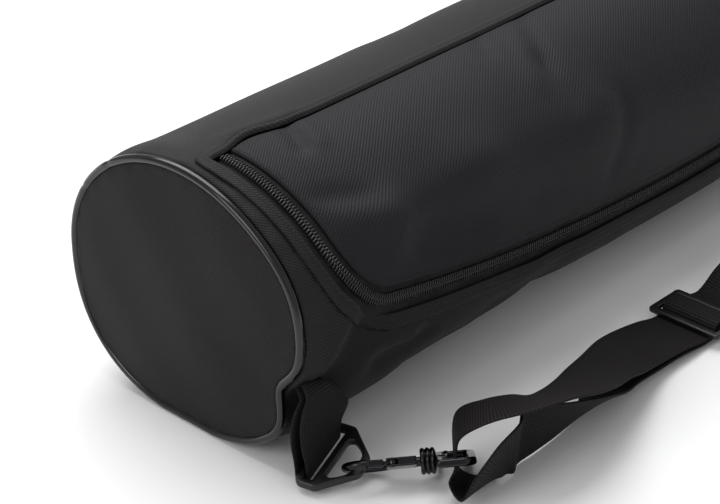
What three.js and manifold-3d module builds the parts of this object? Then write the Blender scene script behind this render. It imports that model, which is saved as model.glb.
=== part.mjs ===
// A yoga mat bag: a closed cloth tube with two piped round ends, a puffed panel that a zip holds on three sides,
// a webbing tab with a two-slot ring at each end, and an adjustable shoulder strap clipped to the rings.
// Millimetres, +Z up. X runs along the bag, the panel and strap are on the -Y side, and the origin lies
// under the middle of the bag, on the surface that it rests on.
import * as THREE from "three";
import { mergeVertices } from "three/addons/utils/BufferGeometryUtils.js";
import Module from "manifold-3d";

// Driving dimensions
const gap = 0.3; // what keeps two neighbouring pieces apart
const bag = { length: 680, width: 179, height: 160, cloth: 1.6, settle: 1, topRound: 2, underRound: 2.35 };
const piping = { diameter: 5 };
const cap = { bulge: 4 };
const webbing = { width: 38, thick: 1.5 };
const panel = { endGap: 24, slant: 9, topTurn: 83.5, lowTurn: 13.5, sag: 42, corner: 35, puff: 9, shoulderTurn: 30 };
const zip = { coilWidth: 6.4, coilHeight: 2, tapeThick: 0.8, tapeReach: 14, start: 0.012, underCloth: 0.7 };
const reveal = { bag: 9.5, panel: 7 }; // from the middle of the zip to the cloth's edge at each side
const slider = { length: 13, width: 10.5, height: 5, pullLength: 30, pullWidth: 7, pullThick: 1.8 };
const ring = { halfWidth: 25, length: 31, thick: 4.4, bar: 4.8, rim: 5.2, slot: 4.6, tip: 6.5, side: 13, bevel: 0.7 };
const eye = { fromSlot: 4.6, narrower: 9.5 };
const hook = { halfWidth: 11.4, rod: 2.4, nose: 13.4, neck: 2.6 };
const housing = { from: 24, to: 40, half: 5.6, bevel: 0.8 };
const hookHead = { radius: 4.6, thick: 2.2 };
const gate = { width: 3.4, thick: 4, knuckle: 2.5, knuckleThick: 2, pin: 1.2, hingeAt: 27.5, hingeSide: 6.6 };
const barrel = { from: 42, length: 8, radius: 7.2, groove: 0.8, ridges: 3 };
const loop = { opening: 12.5, bar: 4.4, thick: 4.4, corner: 4.4, bevel: 1 };
const adjuster = { widthsFromHook: 5.6842, length: 30, bar: 4.5, thick: 3, lift: 6.2, bevel: 0.6 };
const strap = { bow: 155, hem: 28 };
const tab = { turn: -17, fromPiping: 1.5, span: 19, lift: 3.4 }; // span is its width where it is gathered into the seam
const webbingSlack = 1.5; // how much wider each slot is than the webbing, at each side

const halfLength = bag.length / 2;
const axisHeight = bag.height / 2;
const pipingRadius = piping.diameter / 2;
const meanRadius = (bag.width + bag.height) / 4;
const mmPerDegree = THREE.MathUtils.degToRad(meanRadius);
const slotHalf = webbing.width / 2 + webbingSlack;

// Where the cloth stands in or out of its plain oval. at is a share of half the bag's length from the middle,
// turn is degrees round from the front over the top, along is a share of the half length, and rise of the mean radius.
const forms = [
  { name: "tab dent left", at: -1, turn: -20, along: 0.055, round: 11, rise: -0.135 },
  { name: "tab dent right", at: 1, turn: -20, along: 0.055, round: 11, rise: -0.135 },
  { name: "front swell left", at: -0.94, turn: 24, along: 0.16, round: 18, rise: 0.036 },
  { name: "front swell right", at: 0.94, turn: 24, along: 0.16, round: 18, rise: 0.036 },
  { name: "under swell left", at: -0.78, turn: -46, along: 0.22, round: 24, rise: 0.03 },
  { name: "under swell right", at: 0.78, turn: -46, along: 0.22, round: 24, rise: 0.03 },
  { name: "fold under the zip", at: -0.36, turn: -38, along: 0.05, round: 20, rise: -0.036 },
  { name: "middle swell", at: 0.06, turn: -42, along: 0.22, round: 24, rise: 0.034 },
  { name: "back hollow", at: 0.25, turn: 168, along: 0.2, round: 26, rise: -0.025 },
  { name: "back swell", at: -0.35, turn: 188, along: 0.25, round: 24, rise: 0.022 },
];

const bell = (t) => Math.exp(-t * t);
const turnBetween = (a, b) => THREE.MathUtils.euclideanModulo(a - b + 180, 360) - 180;

// The distance from the bag's axis to the outside of its cloth.
function clothRadius(x, turn) {
  const angle = THREE.MathUtils.degToRad(turn);
  const across = Math.abs(Math.cos(angle)) / (bag.width / 2);
  const under = Math.sin(angle) < 0;
  const high = Math.abs(Math.sin(angle)) / (axisHeight + (under ? bag.settle : 0));
  const power = under ? bag.underRound : bag.topRound;
  let radius = (across ** power + high ** power) ** (-1 / power);
  for (const form of forms) {
    const along = (x / halfLength - form.at) / form.along;
    radius += form.rise * meanRadius * bell(along) * bell(turnBetween(turn, form.turn) / form.round);
  }
  return under ? Math.min(radius, axisHeight / Math.max(-Math.sin(angle), 0.01)) : radius;
}

function onCloth(x, turn, height = 0) {
  const angle = THREE.MathUtils.degToRad(turn);
  const radius = clothRadius(x, turn) + height;
  return new THREE.Vector3(x, -radius * Math.cos(angle), axisHeight + radius * Math.sin(angle));
}

// Turns a grid of points into the triangles of one side of a sheet.
function gridFaces(rows, columns, first, flipped, closed = false) {
  const faces = [];
  const span = closed ? columns : columns - 1;
  for (let i = 0; i < rows - 1; i++)
    for (let j = 0; j < span; j++) {
      const a = first + i * columns + j;
      const b = first + i * columns + ((j + 1) % columns);
      const [c, d] = [a + columns, b + columns];
      faces.push(...(flipped ? [a, c, b, b, c, d] : [a, b, c, b, d, c]));
    }
  return faces;
}

function meshOf(points, faces) {
  const geometry = new THREE.BufferGeometry().setFromPoints(points);
  geometry.setIndex(faces);
  return geometry;
}

// A sheet with thickness over a grid of (row, column) shares, from its outer and its inner face.
function sheetSolid(rows, columns, outer, inner) {
  const points = [];
  for (const face of [outer, inner])
    for (let i = 0; i < rows; i++)
      for (let j = 0; j < columns; j++) points.push(face(i / (rows - 1), j / (columns - 1)));
  const count = rows * columns;
  const faces = [...gridFaces(rows, columns, 0, true), ...gridFaces(rows, columns, count, false)];
  const edge = [];
  for (let j = 0; j < columns - 1; j++) edge.push(j);
  for (let i = 0; i < rows - 1; i++) edge.push(i * columns + columns - 1);
  for (let j = columns - 1; j > 0; j--) edge.push((rows - 1) * columns + j);
  for (let i = rows - 1; i > 0; i--) edge.push(i * columns);
  edge.forEach((a, k) => {
    const b = edge[(k + 1) % edge.length];
    faces.push(a, b, a + count, b, b + count, a + count);
  });
  return meshOf(points, faces);
}

// A bar whose section is a ring of points at each station. Its opposite faces are split along the same diagonal,
// so that they stay apart where a flat bar twists.
function barSolid(stations) {
  const sides = stations[0].length;
  const points = stations.flat();
  const faces = [];
  for (let i = 0; i < stations.length - 1; i++)
    for (let k = 0; k < sides; k++) {
      const [a, b] = [i * sides + k, i * sides + ((k + 1) % sides)];
      const [c, d] = [a + sides, b + sides];
      faces.push(...(k < sides / 2 ? [a, b, c, b, d, c] : [a, b, d, a, d, c]));
    }
  const last = points.length - sides;
  for (let k = 1; k < sides - 1; k++) faces.push(0, k + 1, k, last, last + k, last + k + 1);
  return meshOf(points, faces);
}

const wasm = await Module();
wasm.setup();

function solidOf(geometry) {
  const bare = geometry.index ? geometry.toNonIndexed() : geometry.clone();
  for (const name of Object.keys(bare.attributes)) if (name !== "position") bare.deleteAttribute(name);
  const merged = mergeVertices(bare, 1e-3);
  const vertProperties = new Float32Array(merged.attributes.position.array);
  return new wasm.Manifold(new wasm.Mesh({ numProp: 3, vertProperties, triVerts: new Uint32Array(merged.index.array) }));
}

function geometryOf(solid) {
  const mesh = solid.getMesh();
  const geometry = new THREE.BufferGeometry();
  geometry.setAttribute("position", new THREE.BufferAttribute(new Float32Array(mesh.vertProperties), 3));
  return geometry.setIndex([...mesh.triVerts]);
}

const joined = (...solids) => solids.reduce((sum, next) => sum.add(next));
const cutBy = (solid, ...cutters) => cutters.reduce((left, cutter) => left.subtract(cutter), solid);

// Materials
const finish = (color, roughness, metalness = 0) => new THREE.MeshStandardMaterial({ color, roughness, metalness });
const oxford = finish(0x1d1c1e, 0.85);
const capCloth = finish(0x1b1818, 0.88);
const vinyl = finish(0x161515, 0.3);
const tape = finish(0x121213, 0.9);
const coilNylon = finish(0x2a2a2b, 0.35);
const strapWeave = finish(0x1a1818, 0.9);
const acetal = finish(0x17161a, 0.45);
const blackMetal = finish(0x101011, 0.22, 0.6);

const root = new THREE.Group();
root.name = "yoga_mat_bag";

function addPiece(name, geometry, material, parent = root) {
  const mesh = new THREE.Mesh(geometry, material);
  mesh.name = name;
  parent.add(mesh);
  return mesh;
}

// The zipped panel, laid out flat: x along the bag and girth round it. inset moves its edge inwards.
function panelAt(u, v, inset = 0) {
  const top = panel.topTurn * mmPerDegree;
  const low = panel.lowTurn * mmPerDegree + inset;
  const corner = Math.max(panel.corner - inset, 1);
  const left = halfLength - panel.endGap - inset;
  const intoCorner = Math.max(corner - (1 - v) * (top - low), 0);
  const round = corner - Math.sqrt(Math.max(corner ** 2 - intoCorner ** 2, 0));
  const reach = left - panel.slant * v - round;
  const x = THREE.MathUtils.lerp(-reach, reach, u);
  const sag = panel.sag * (1 - (x / halfLength) ** 2);
  return { x, girth: THREE.MathUtils.lerp(top, low - sag, v) };
}

const turnOf = (girth) => girth / mmPerDegree;

// How far the panel stands out of the bag's own form: nothing at its edges, and most at its shoulder.
function panelRise(u, v, x, turn) {
  const fromEnd = Math.min(u, 1 - u) * bag.length;
  const ends = 1 - bell(fromEnd / 26);
  const seam = Math.sin((Math.PI / 2) * Math.min(v * 2.2, 1));
  const foot = 1 - bell((1 - v) * 4.2);
  const shoulder = 0.7 + 0.3 * bell((turn - panel.shoulderTurn) / 26);
  return panel.puff * ends * seam * foot * shoulder;
}

// The line that the zip follows, with the way out of the panel at each of its points.
function zipLine(sideSteps, lowSteps) {
  const line = [];
  const ease = (t) => 1 - (1 - t) ** 1.8;
  for (let i = 0; i < sideSteps; i++) line.push(panelAt(0, Math.max(ease(i / sideSteps), zip.start)));
  for (let i = 0; i <= lowSteps; i++) line.push(panelAt(i / lowSteps, 1));
  for (let i = sideSteps - 1; i >= 0; i--) line.push(panelAt(1, Math.max(ease(i / sideSteps), zip.start)));
  return line.map((point, i) => {
    const [before, after] = [line[Math.max(i - 1, 0)], line[Math.min(i + 1, line.length - 1)]];
    const along = new THREE.Vector2(after.x - before.x, after.girth - before.girth).normalize();
    return { ...point, out: new THREE.Vector2(along.y, -along.x) };
  });
}

// A flat strip along the zip line, from one offset to another across it and between two heights on the cloth.
function zipStrip(line, from, to, low, high) {
  const edge = (point, across, height) =>
    onCloth(point.x + point.out.x * across, turnOf(point.girth + point.out.y * across), height);
  return barSolid(line.map((p) => [edge(p, from, low), edge(p, from, high), edge(p, to, high), edge(p, to, low)]));
}

// Main cloth of the bag, open at both ends and under the panel.
function tubeCloth() {
  const round = 56;
  const ends = halfLength - pipingRadius - gap;
  const shares = [0, 0.05, 0.1, 0.16, 0.24, 0.32, 0.41, 0.5, 0.59, 0.68, 0.76, 0.84, 0.9, 0.95, 1];
  const points = [];
  for (const height of [0, -bag.cloth])
    for (const share of shares)
      for (let j = 0; j < round; j++) {
        const x = THREE.MathUtils.lerp(-ends, ends, share);
        points.push(onCloth(x, (j * 360) / round - 3, height));
      }
  const count = shares.length * round;
  const faces = [
    ...gridFaces(shares.length, round, 0, true, true),
    ...gridFaces(shares.length, round, count, false, true),
  ];
  for (const row of [0, shares.length - 1])
    for (let j = 0; j < round; j++) {
      const [a, b] = [row * round + j, row * round + ((j + 1) % round)];
      faces.push(...(row ? [a, a + count, b, b, a + count, b + count] : [a, b, a + count, b, b + count, a + count]));
    }
  const tube = solidOf(meshOf(points, faces));
  const reach = 14;
  const window = (height) => (v, u) => {
    const { x, girth } = panelAt(u, v, -reveal.bag);
    return onCloth(x, turnOf(girth), height);
  };
  return geometryOf(cutBy(tube, solidOf(sheetSolid(22, 14, window(reach), window(-reach)))));
}

function panelCloth() {
  const face = (height) => (i, u) => {
    const v = 1 - (1 - i) ** 1.5;
    const { x, girth } = panelAt(u, v, reveal.panel);
    const turn = turnOf(girth - (i === 0 ? gap : 0));
    return onCloth(x, turn, panelRise(u, v, x, turn) + height);
  };
  return sheetSolid(12, 25, face(0), face(-bag.cloth));
}

addPiece("tube_cloth", tubeCloth(), oxford);
addPiece("panel_cloth", panelCloth(), oxford);

// The tapes lie under the cloth's edges and the coil on the tapes.
const line = zipLine(10, 24);
const tapeTop = -bag.cloth - zip.underCloth;
const tapeLow = tapeTop - zip.tapeThick;
addPiece("zip_tape_bag", zipStrip(line, gap / 2, zip.tapeReach, tapeLow, tapeTop), tape);
addPiece("zip_tape_panel", zipStrip(line, -zip.tapeReach, -gap / 2, tapeLow, tapeTop), tape);
const coilBase = tapeTop + gap;
const coilTop = coilBase + zip.coilHeight;
addPiece("zip_coil", zipStrip(line, -zip.coilWidth / 2, zip.coilWidth / 2, coilBase, coilTop), coilNylon);

// One plain piece on the coil near the right end of the panel's long side.
function zipSlider() {
  const at = panelAt(0.86, 1);
  const seat = onCloth(at.x, turnOf(at.girth), coilTop + gap + slider.height / 2);
  const body = new THREE.BoxGeometry(slider.length, slider.width, slider.height);
  const pull = new THREE.BoxGeometry(slider.pullLength, slider.pullWidth, slider.pullThick);
  pull.translate(-slider.pullLength / 2, 0, slider.height / 2 - slider.pullThick / 2);
  const bridge = new THREE.BoxGeometry(slider.length * 0.6, 3, 3);
  bridge.translate(0, 0, slider.height / 2 + 1);
  const slidingPiece = geometryOf(joined(solidOf(body), solidOf(pull), solidOf(bridge)));
  const mesh = addPiece("zip_slider", slidingPiece, blackMetal);
  mesh.position.copy(seat);
  mesh.rotation.x = THREE.MathUtils.degToRad(90 - turnOf(at.girth));
}
zipSlider();

// Round ends: a sheet of cloth inside a ring of piping
function endCloth() {
  const [round, rings] = [38, 3];
  const edge = piping.diameter + 2.3 * gap;
  const at = (share, turn, depth) => {
    const [before, after] = [clothRadius(-halfLength, turn - 1), clothRadius(-halfLength, turn + 1)];
    const slope = (after - before) / (2 * mmPerDegree);
    const reach = (clothRadius(-halfLength, turn) - edge * Math.hypot(1, slope)) * share;
    const angle = THREE.MathUtils.degToRad(turn);
    const x = -halfLength - cap.bulge * (1 - share ** 2.5) + depth;
    return new THREE.Vector3(x, -reach * Math.cos(angle), axisHeight + reach * Math.sin(angle));
  };
  const points = [];
  const faces = [];
  for (const depth of [0, bag.cloth]) {
    const first = points.length;
    points.push(at(0, 0, depth));
    for (let i = 1; i <= rings; i++)
      for (let j = 0; j < round; j++) points.push(at(i / rings, (j * 360) / round, depth));
    for (let j = 0; j < round; j++) {
      const [a, b] = [first + 1 + j, first + 1 + ((j + 1) % round)];
      faces.push(...(depth ? [first, b, a] : [first, a, b]));
    }
    faces.push(...gridFaces(rings, round, first + 1, depth === 0, true));
  }
  const count = points.length / 2;
  for (let j = 0; j < round; j++) {
    const a = 1 + (rings - 1) * round + j;
    const b = 1 + (rings - 1) * round + ((j + 1) % round);
    faces.push(b, a, a + count, b, a + count, b + count);
  }
  return meshOf(points, faces);
}

function pipingRing() {
  const [round, sides] = [46, 6];
  const points = [];
  for (let j = 0; j <= round; j++) {
    const turn = (j * 360) / round;
    const angle = THREE.MathUtils.degToRad(turn);
    for (let k = 0; k < sides; k++) {
      const around = (k * 2 * Math.PI) / sides;
      const radius = clothRadius(-halfLength, turn) - pipingRadius + pipingRadius * Math.cos(around);
      const x = -halfLength + pipingRadius * Math.sin(around);
      points.push(new THREE.Vector3(x, -radius * Math.cos(angle), axisHeight + radius * Math.sin(angle)));
    }
  }
  return meshOf(points, gridFaces(round + 1, sides, 0, false, true));
}

// A flat ribbon of webbing through stations, each with a middle and the direction of its width.
// A station's spread is the share of its width that isn't gathered. Its two edges are smooth curves, and steps is how many sections there are between two stations.
function ribbon(stations, steps) {
  const edge = (side) => {
    const offset = (s) => (side * webbing.width * (s.spread ?? 1)) / 2;
    return new THREE.CatmullRomCurve3(stations.map((s) => s.middle.clone().addScaledVector(s.across, offset(s))));
  };
  const [left, right] = [edge(-1), edge(1)];
  const count = (stations.length - 1) * steps;
  const at = (i) => {
    const t = THREE.MathUtils.clamp(i / count, 0, 1);
    return [left.getPoint(t), right.getPoint(t)];
  };
  const sections = [];
  for (let i = 0; i <= count; i++) {
    const [low, high] = at(i);
    const across = high.clone().sub(low).normalize();
    const [before, after] = [at(i - 0.25), at(i + 0.25)];
    const along = after[0].add(after[1]).sub(before[0]).sub(before[1]).normalize();
    const up = along.cross(across).normalize().multiplyScalar(webbing.thick / 2);
    sections.push([low.clone().sub(up), high.clone().sub(up), high.clone().add(up), low.clone().add(up)]);
  }
  return barSolid(sections);
}

const flatShape = (corners) => new THREE.Shape(corners.map(([x, y]) => new THREE.Vector2(x, y)));

// Two-slot ring, flat in its own frame: X along the slot, Y towards the tip, Z out of its face.
function ringShape() {
  const low = -ring.bar - ring.slot / 2;
  const high = low + ring.length;
  const corner = 3;
  const outline = [
    [-ring.halfWidth + corner, low],
    [ring.halfWidth - corner, low],
    [ring.halfWidth, low + corner],
    [ring.halfWidth, low + ring.side],
    [ring.tip + 1.5, high - 1.5],
    [ring.tip - 1, high],
    [1 - ring.tip, high],
    [-ring.tip - 1.5, high - 1.5],
    [-ring.halfWidth, low + ring.side],
    [-ring.halfWidth, low + corner],
  ];
  const flat = flatShape(outline);
  const half = ring.slot / 2;
  const slot = [
    [-slotHalf, -half],
    [-slotHalf, half],
    [slotHalf, half],
    [slotHalf, -half],
  ];
  flat.holes.push(flatShape(slot));
  // The hook's hole narrows with the ring's outline and has round corners.
  const hole = new THREE.Path();
  const wide = ring.halfWidth - eye.narrower;
  const [near, far] = [half + eye.fromSlot, high - ring.rim];
  hole.moveTo(-wide + 4, near);
  hole.quadraticCurveTo(-wide, near, -wide + 0.5, near + 3.5);
  hole.quadraticCurveTo(-ring.tip - 3.5, far, 3 - ring.tip, far);
  hole.lineTo(ring.tip - 3, far);
  hole.quadraticCurveTo(ring.tip + 3.5, far, wide - 0.5, near + 3.5);
  hole.quadraticCurveTo(wide, near, wide - 4, near);
  flat.holes.push(hole);
  return flat;
}

// A plate from a flat outline, with bevelled edges that stay inside the outline, centred on its own plane.
function bevelledPlate(shape, thick, bevel, curveSegments = 4) {
  const settings = { depth: thick - 2 * bevel, bevelThickness: bevel, bevelSize: bevel, bevelOffset: -bevel };
  const plate = new THREE.ExtrudeGeometry(shape, { ...settings, bevelSegments: 1, curveSegments });
  return plate.translate(0, 0, bevel - thick / 2);
}

function rectangle(x0, x1, y0, y1) {
  const shape = new THREE.Shape();
  shape.moveTo(x0, y0);
  shape.lineTo(x1, y0);
  shape.lineTo(x1, y1);
  shape.lineTo(x0, y1);
  return shape;
}

// A round rod along a line of points.
function rod(points, radius, steps) {
  const section = new THREE.Shape().absarc(0, 0, radius, 0, 2 * Math.PI);
  const extrudePath = new THREE.CatmullRomCurve3(points, false, "centripetal");
  return new THREE.ExtrudeGeometry(section, { steps, curveSegments: 4, extrudePath });
}

function cylinderAlongX(x0, x1, radius, sides = 12) {
  const made = new THREE.CylinderGeometry(radius, radius, x1 - x0, sides).rotateZ(-Math.PI / 2);
  return made.translate((x0 + x1) / 2, 0, 0);
}

// Snap hook in its own frame: X from its tip to its loop, Y across it, Z out of its flat side.
const hookMid = hook.halfWidth - hook.rod;
const gateHinge = new THREE.Vector3(gate.hingeAt, -gate.hingeSide, 0);
const barrelEnd = barrel.from + barrel.length;
const neckEnd = barrelEnd + loop.bar + gap;
const openingMiddle = barrelEnd + loop.bar + loop.opening / 2;

function hookBody(hinged) {
  const line = [new THREE.Vector3(housing.from + 4, housing.half / 2, 0)];
  line.push(new THREE.Vector3(housing.from - 2, hookMid - 1, 0));
  for (let k = 0; k <= 8; k++) {
    const angle = Math.PI / 2 + (k * Math.PI) / 8;
    const x = hook.halfWidth + hookMid * Math.cos(angle);
    line.push(new THREE.Vector3(x, hookMid * Math.sin(angle), 0));
  }
  line.push(new THREE.Vector3(hook.nose, -hookMid, 0));
  const blockShape = rectangle(housing.from, housing.to, -gate.hingeSide - gate.knuckle, housing.half);
  const block = bevelledPlate(blockShape, 2 * hook.rod, housing.bevel);
  const neck = cylinderAlongX(housing.to - 1, neckEnd + 0.5, hook.neck);
  const head = cylinderAlongX(neckEnd, neckEnd + hookHead.thick, hookHead.radius);
  // The gate's knuckle turns in a slot between two cheeks, on a pin across them.
  const room = gate.knuckle + 2 * gap;
  const slotWidth = gate.knuckleThick + 2 * gap;
  const slot = new THREE.BoxGeometry(3 * room, 2 * room, slotWidth);
  slot.translate(gateHinge.x - room / 2, gateHinge.y, 0);
  const pin = new THREE.CylinderGeometry(gate.pin, gate.pin, 2 * hook.rod - 0.4, 12).rotateX(Math.PI / 2);
  pin.translate(gateHinge.x, gateHinge.y, 0);
  const solid = joined(solidOf(rod(line, hook.rod, 16)), solidOf(block), solidOf(neck), solidOf(head));
  return hinged ? joined(cutBy(solid, solidOf(slot)), solidOf(pin)) : solid;
}

function gateSolid() {
  const tip = new THREE.Vector2(hook.nose + 2 * gap, -hookMid);
  const heel = new THREE.Vector2(housing.from - 1.4, -gate.hingeSide - 0.8);
  const half = gate.width / 2;
  const bar = new THREE.Shape();
  bar.moveTo(tip.x, tip.y - half);
  bar.lineTo(heel.x, heel.y - half);
  bar.lineTo(heel.x, heel.y + half);
  bar.lineTo(tip.x, tip.y + half);
  const arm = rectangle(heel.x - 1, gateHinge.x, gateHinge.y - 1.4, gateHinge.y + 1.4);
  const knuckle = new THREE.CylinderGeometry(gate.knuckle, gate.knuckle, gate.knuckleThick, 16).rotateX(Math.PI / 2);
  knuckle.translate(gateHinge.x, gateHinge.y, 0);
  const bore = new THREE.CylinderGeometry(gate.pin + gap, gate.pin + gap, 2 * gate.thick, 12).rotateX(Math.PI / 2);
  bore.translate(gateHinge.x, gateHinge.y, 0);
  const parts = [bevelledPlate(bar, gate.thick, 0.6), bevelledPlate(arm, gate.knuckleThick, 0.1), knuckle];
  return cutBy(joined(...parts.map(solidOf)), solidOf(bore));
}

// The swivel's ridged barrel and the webbing's loop are one casting.
function loopSolid(bored) {
  const [groove, ridge] = [barrel.radius - barrel.groove, barrel.radius];
  const pitch = barrel.length / barrel.ridges;
  const profile = [[0, barrel.from]];
  for (let k = 0; k < barrel.ridges; k++) {
    const from = barrel.from + k * pitch;
    profile.push([groove, from], [ridge, from + 0.3 * pitch], [ridge, from + 0.7 * pitch]);
  }
  profile.push([groove, barrelEnd], [0, barrelEnd + 0.5]);
  const turned = new THREE.LatheGeometry(profile.map(([r, x]) => new THREE.Vector2(r, x)), 12).rotateZ(-Math.PI / 2);
  const outer = slotHalf + loop.bar;
  const [x0, x1] = [barrelEnd + loop.bar, barrelEnd + loop.bar + loop.opening];
  const far = x1 + loop.bar;
  const outline = [
    [barrelEnd, -outer],
    [far - loop.corner, -outer],
    [far, loop.corner - outer],
    [far, outer - loop.corner],
    [far - loop.corner, outer],
    [barrelEnd, outer],
  ];
  const hole = [
    [x0, -slotHalf],
    [x0, slotHalf],
    [x1, slotHalf],
    [x1, -slotHalf],
  ];
  const frame = flatShape(outline);
  frame.holes.push(flatShape(hole));
  const solid = joined(solidOf(turned), solidOf(bevelledPlate(frame, loop.thick, loop.bevel)));
  return bored ? cutBy(solid, solidOf(cylinderAlongX(barrel.from - 1, neckEnd, hook.neck + gap))) : solid;
}

// A frame from two directions that are nearly square to each other.
function frameOf(origin, first, second) {
  const x = first.clone().normalize();
  const z = new THREE.Vector3().crossVectors(x, second).normalize();
  const y = new THREE.Vector3().crossVectors(z, x);
  return new THREE.Matrix4().makeBasis(x, y, z).setPosition(origin);
}

// How one end's ring and hook lie, worked out from the tab's seam.
const tabRoot = onCloth(-halfLength + pipingRadius, -20, gap);
const ringOrigin = new THREE.Vector3(tabRoot.x + 14.6, tabRoot.y - 13.1, 9.6);
const ringFrame = frameOf(ringOrigin, new THREE.Vector3(0.946, 0.271, 0.165), new THREE.Vector3(0.291, -0.952, -0.03));
const hookOrigin = ringOrigin.clone().add(new THREE.Vector3(-2.8, -13.8, -0.1));
const loopFrame = frameOf(hookOrigin, new THREE.Vector3(0.702, -0.709, 0.085), new THREE.Vector3(0.646, 0.58, -0.497));
const hookRoll = THREE.MathUtils.degToRad(-12); // how far the hook has swivelled against its loop
const hookFrame = loopFrame.clone().multiply(new THREE.Matrix4().makeRotationX(hookRoll));

// The tab is folded round the ring's bar, and both its ends are sewn into the seam.
function tabRibbon() {
  const place = (x, y, z) => new THREE.Vector3(x, y, z).applyMatrix4(ringFrame);
  const along = new THREE.Vector3().setFromMatrixColumn(ringFrame, 0);
  const up = new THREE.Vector3().setFromMatrixColumn(ringFrame, 2).negate();
  const seat = webbing.thick / 2 + gap;
  const near = onCloth(tabRoot.x + tab.fromPiping, tab.turn, seat);
  const far = onCloth(near.x + tab.span, tab.turn, seat + tab.lift);
  const seamAcross = far.clone().sub(near).normalize();
  const seamMiddle = near.clone().add(far).multiplyScalar(0.5);
  const gathered = near.distanceTo(far) / webbing.width;
  const outward = new THREE.Vector3(0, -1, -0.25).normalize();
  const layerRise = new THREE.Vector3(0, -1.8, 1.9); // from the layer behind to the one in front, where they leave the seam
  const clear = webbing.thick / 2 + gap;
  const barMiddle = -(ring.bar + ring.slot) / 2;
  const [wide, deep] = [ring.bar / 2 + clear, ring.thick / 2 + clear];
  const wrap = [];
  for (let k = 0; k <= 8; k++) {
    const angle = (k * Math.PI) / 8;
    const [c, s] = [Math.cos(angle), Math.sin(angle)];
    const y = barMiddle - wide * Math.sign(c) * Math.abs(c) ** 0.52;
    wrap.push({ middle: place(0, y, deep * Math.abs(s) ** 0.52), across: along });
  }
  // A layer from the seam to the bar; side is -1 for the one behind, 1 for the one in front.
  const layer = (side) => {
    const start = seamMiddle.clone().addScaledVector(layerRise, (side + 1) * clear);
    const end = place(0, barMiddle + side * wide, 0);
    const reach = start.distanceTo(end);
    const points = [start, start.clone().addScaledVector(outward, 0.32 * reach)];
    points.push(end.clone().addScaledVector(up, 0.42 * reach), end);
    const curve = new THREE.CubicBezierCurve3(...points);
    const stations = [];
    for (let k = 0; k < 6; k++) {
      const t = k / 6;
      const tangent = curve.getTangent(t);
      const across = seamAcross.clone().lerp(along, THREE.MathUtils.smoothstep(t, 0, 1));
      across.addScaledVector(tangent, -across.dot(tangent)).normalize();
      const spread = THREE.MathUtils.lerp(gathered, 1, THREE.MathUtils.smoothstep(t, 0, 0.7));
      stations.push({ middle: curve.getPoint(t), across, spread });
    }
    return stations;
  };
  return ribbon([...layer(-1), ...wrap, ...layer(1).reverse()], 2);
}

addPiece("tab_webbing_left", tabRibbon(), strapWeave);
addPiece("ring_left", bevelledPlate(ringShape(), ring.thick, ring.bevel), acetal).applyMatrix4(ringFrame);
addPiece("hook_left", geometryOf(hookBody(true)), blackMetal).applyMatrix4(hookFrame);
addPiece("gate_left", geometryOf(gateSolid()), blackMetal).applyMatrix4(hookFrame);
addPiece("hook_loop_left", geometryOf(loopSolid(true)), blackMetal).applyMatrix4(loopFrame);
addPiece("end_cloth_left", endCloth(), capCloth);
addPiece("piping_left", pipingRing(), vinyl);

// The other end is the same, turned to face it; its hook is one plain piece.
const farEnd = new THREE.Group();
farEnd.scale.x = -1;
root.add(farEnd);
addPiece("end_cloth_right", endCloth(), capCloth, farEnd);
addPiece("piping_right", pipingRing(), vinyl, farEnd);
addPiece("tab_webbing_right", tabRibbon(), strapWeave, farEnd);
addPiece("ring_right", bevelledPlate(ringShape(), ring.thick, ring.bevel), acetal, farEnd).applyMatrix4(ringFrame);
const plainLoop = loopSolid(false).transform(new THREE.Matrix4().makeRotationX(-hookRoll).elements);
const plainHook = joined(hookBody(false), gateSolid(), plainLoop);
addPiece("hook_right", geometryOf(plainHook), blackMetal, farEnd).applyMatrix4(hookFrame);

const strapStart = new THREE.Vector3(openingMiddle, 0, 0).applyMatrix4(loopFrame);
const adjusterMiddle = strapStart.x + adjuster.widthsFromHook * webbing.width;
const strapLine = strapStart.y - 0.04 * webbing.width;

// The strap's two strands between the hook's loop and the adjuster. Places are in widths of the webbing: x and y from
// the middle of the loop's opening, z from the surface. across is the direction of the webbing's width.
const lowerStrand = [
  { x: 4.66, y: -0.03, z: 0.12, across: [0, 1, -0.03] },
  { x: 4, y: -0.04, z: 0.12, across: [0, 0.99, -0.1] },
  { x: 3.35, y: -0.18, z: 0.18, across: [0, 0.96, -0.28] },
  { x: 2.81, y: -0.43, z: 0.28, across: [0, 0.87, -0.5] },
  { x: 2.25, y: -0.62, z: 0.4, across: [0, 0.68, -0.73] },
  { x: 1.71, y: -0.61, z: 0.47, across: [0.03, 0.5, -0.87] },
  { x: 1.21, y: -0.53, z: 0.52, across: [0.05, 0.28, -0.96] },
  { x: 0.84, y: -0.46, z: 0.53, across: [0.03, 0.12, -0.99] },
  { x: 0.6, y: -0.6, z: 0.54, across: [0.08, 0.17, -0.98] },
  { x: 0.28, y: -0.61, z: 0.5, across: [0.5, 0.25, -0.83] },
  { x: 0.01, y: -0.59, z: 0.34, across: [0.83, 0.22, -0.5] },
  { x: -0.05, y: -0.42, z: 0.1, across: [0.94, 0.25, -0.2] },
  { x: -0.1, y: -0.1, z: 0.17, across: [0.8, 0.44, -0.4] },
];
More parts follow.
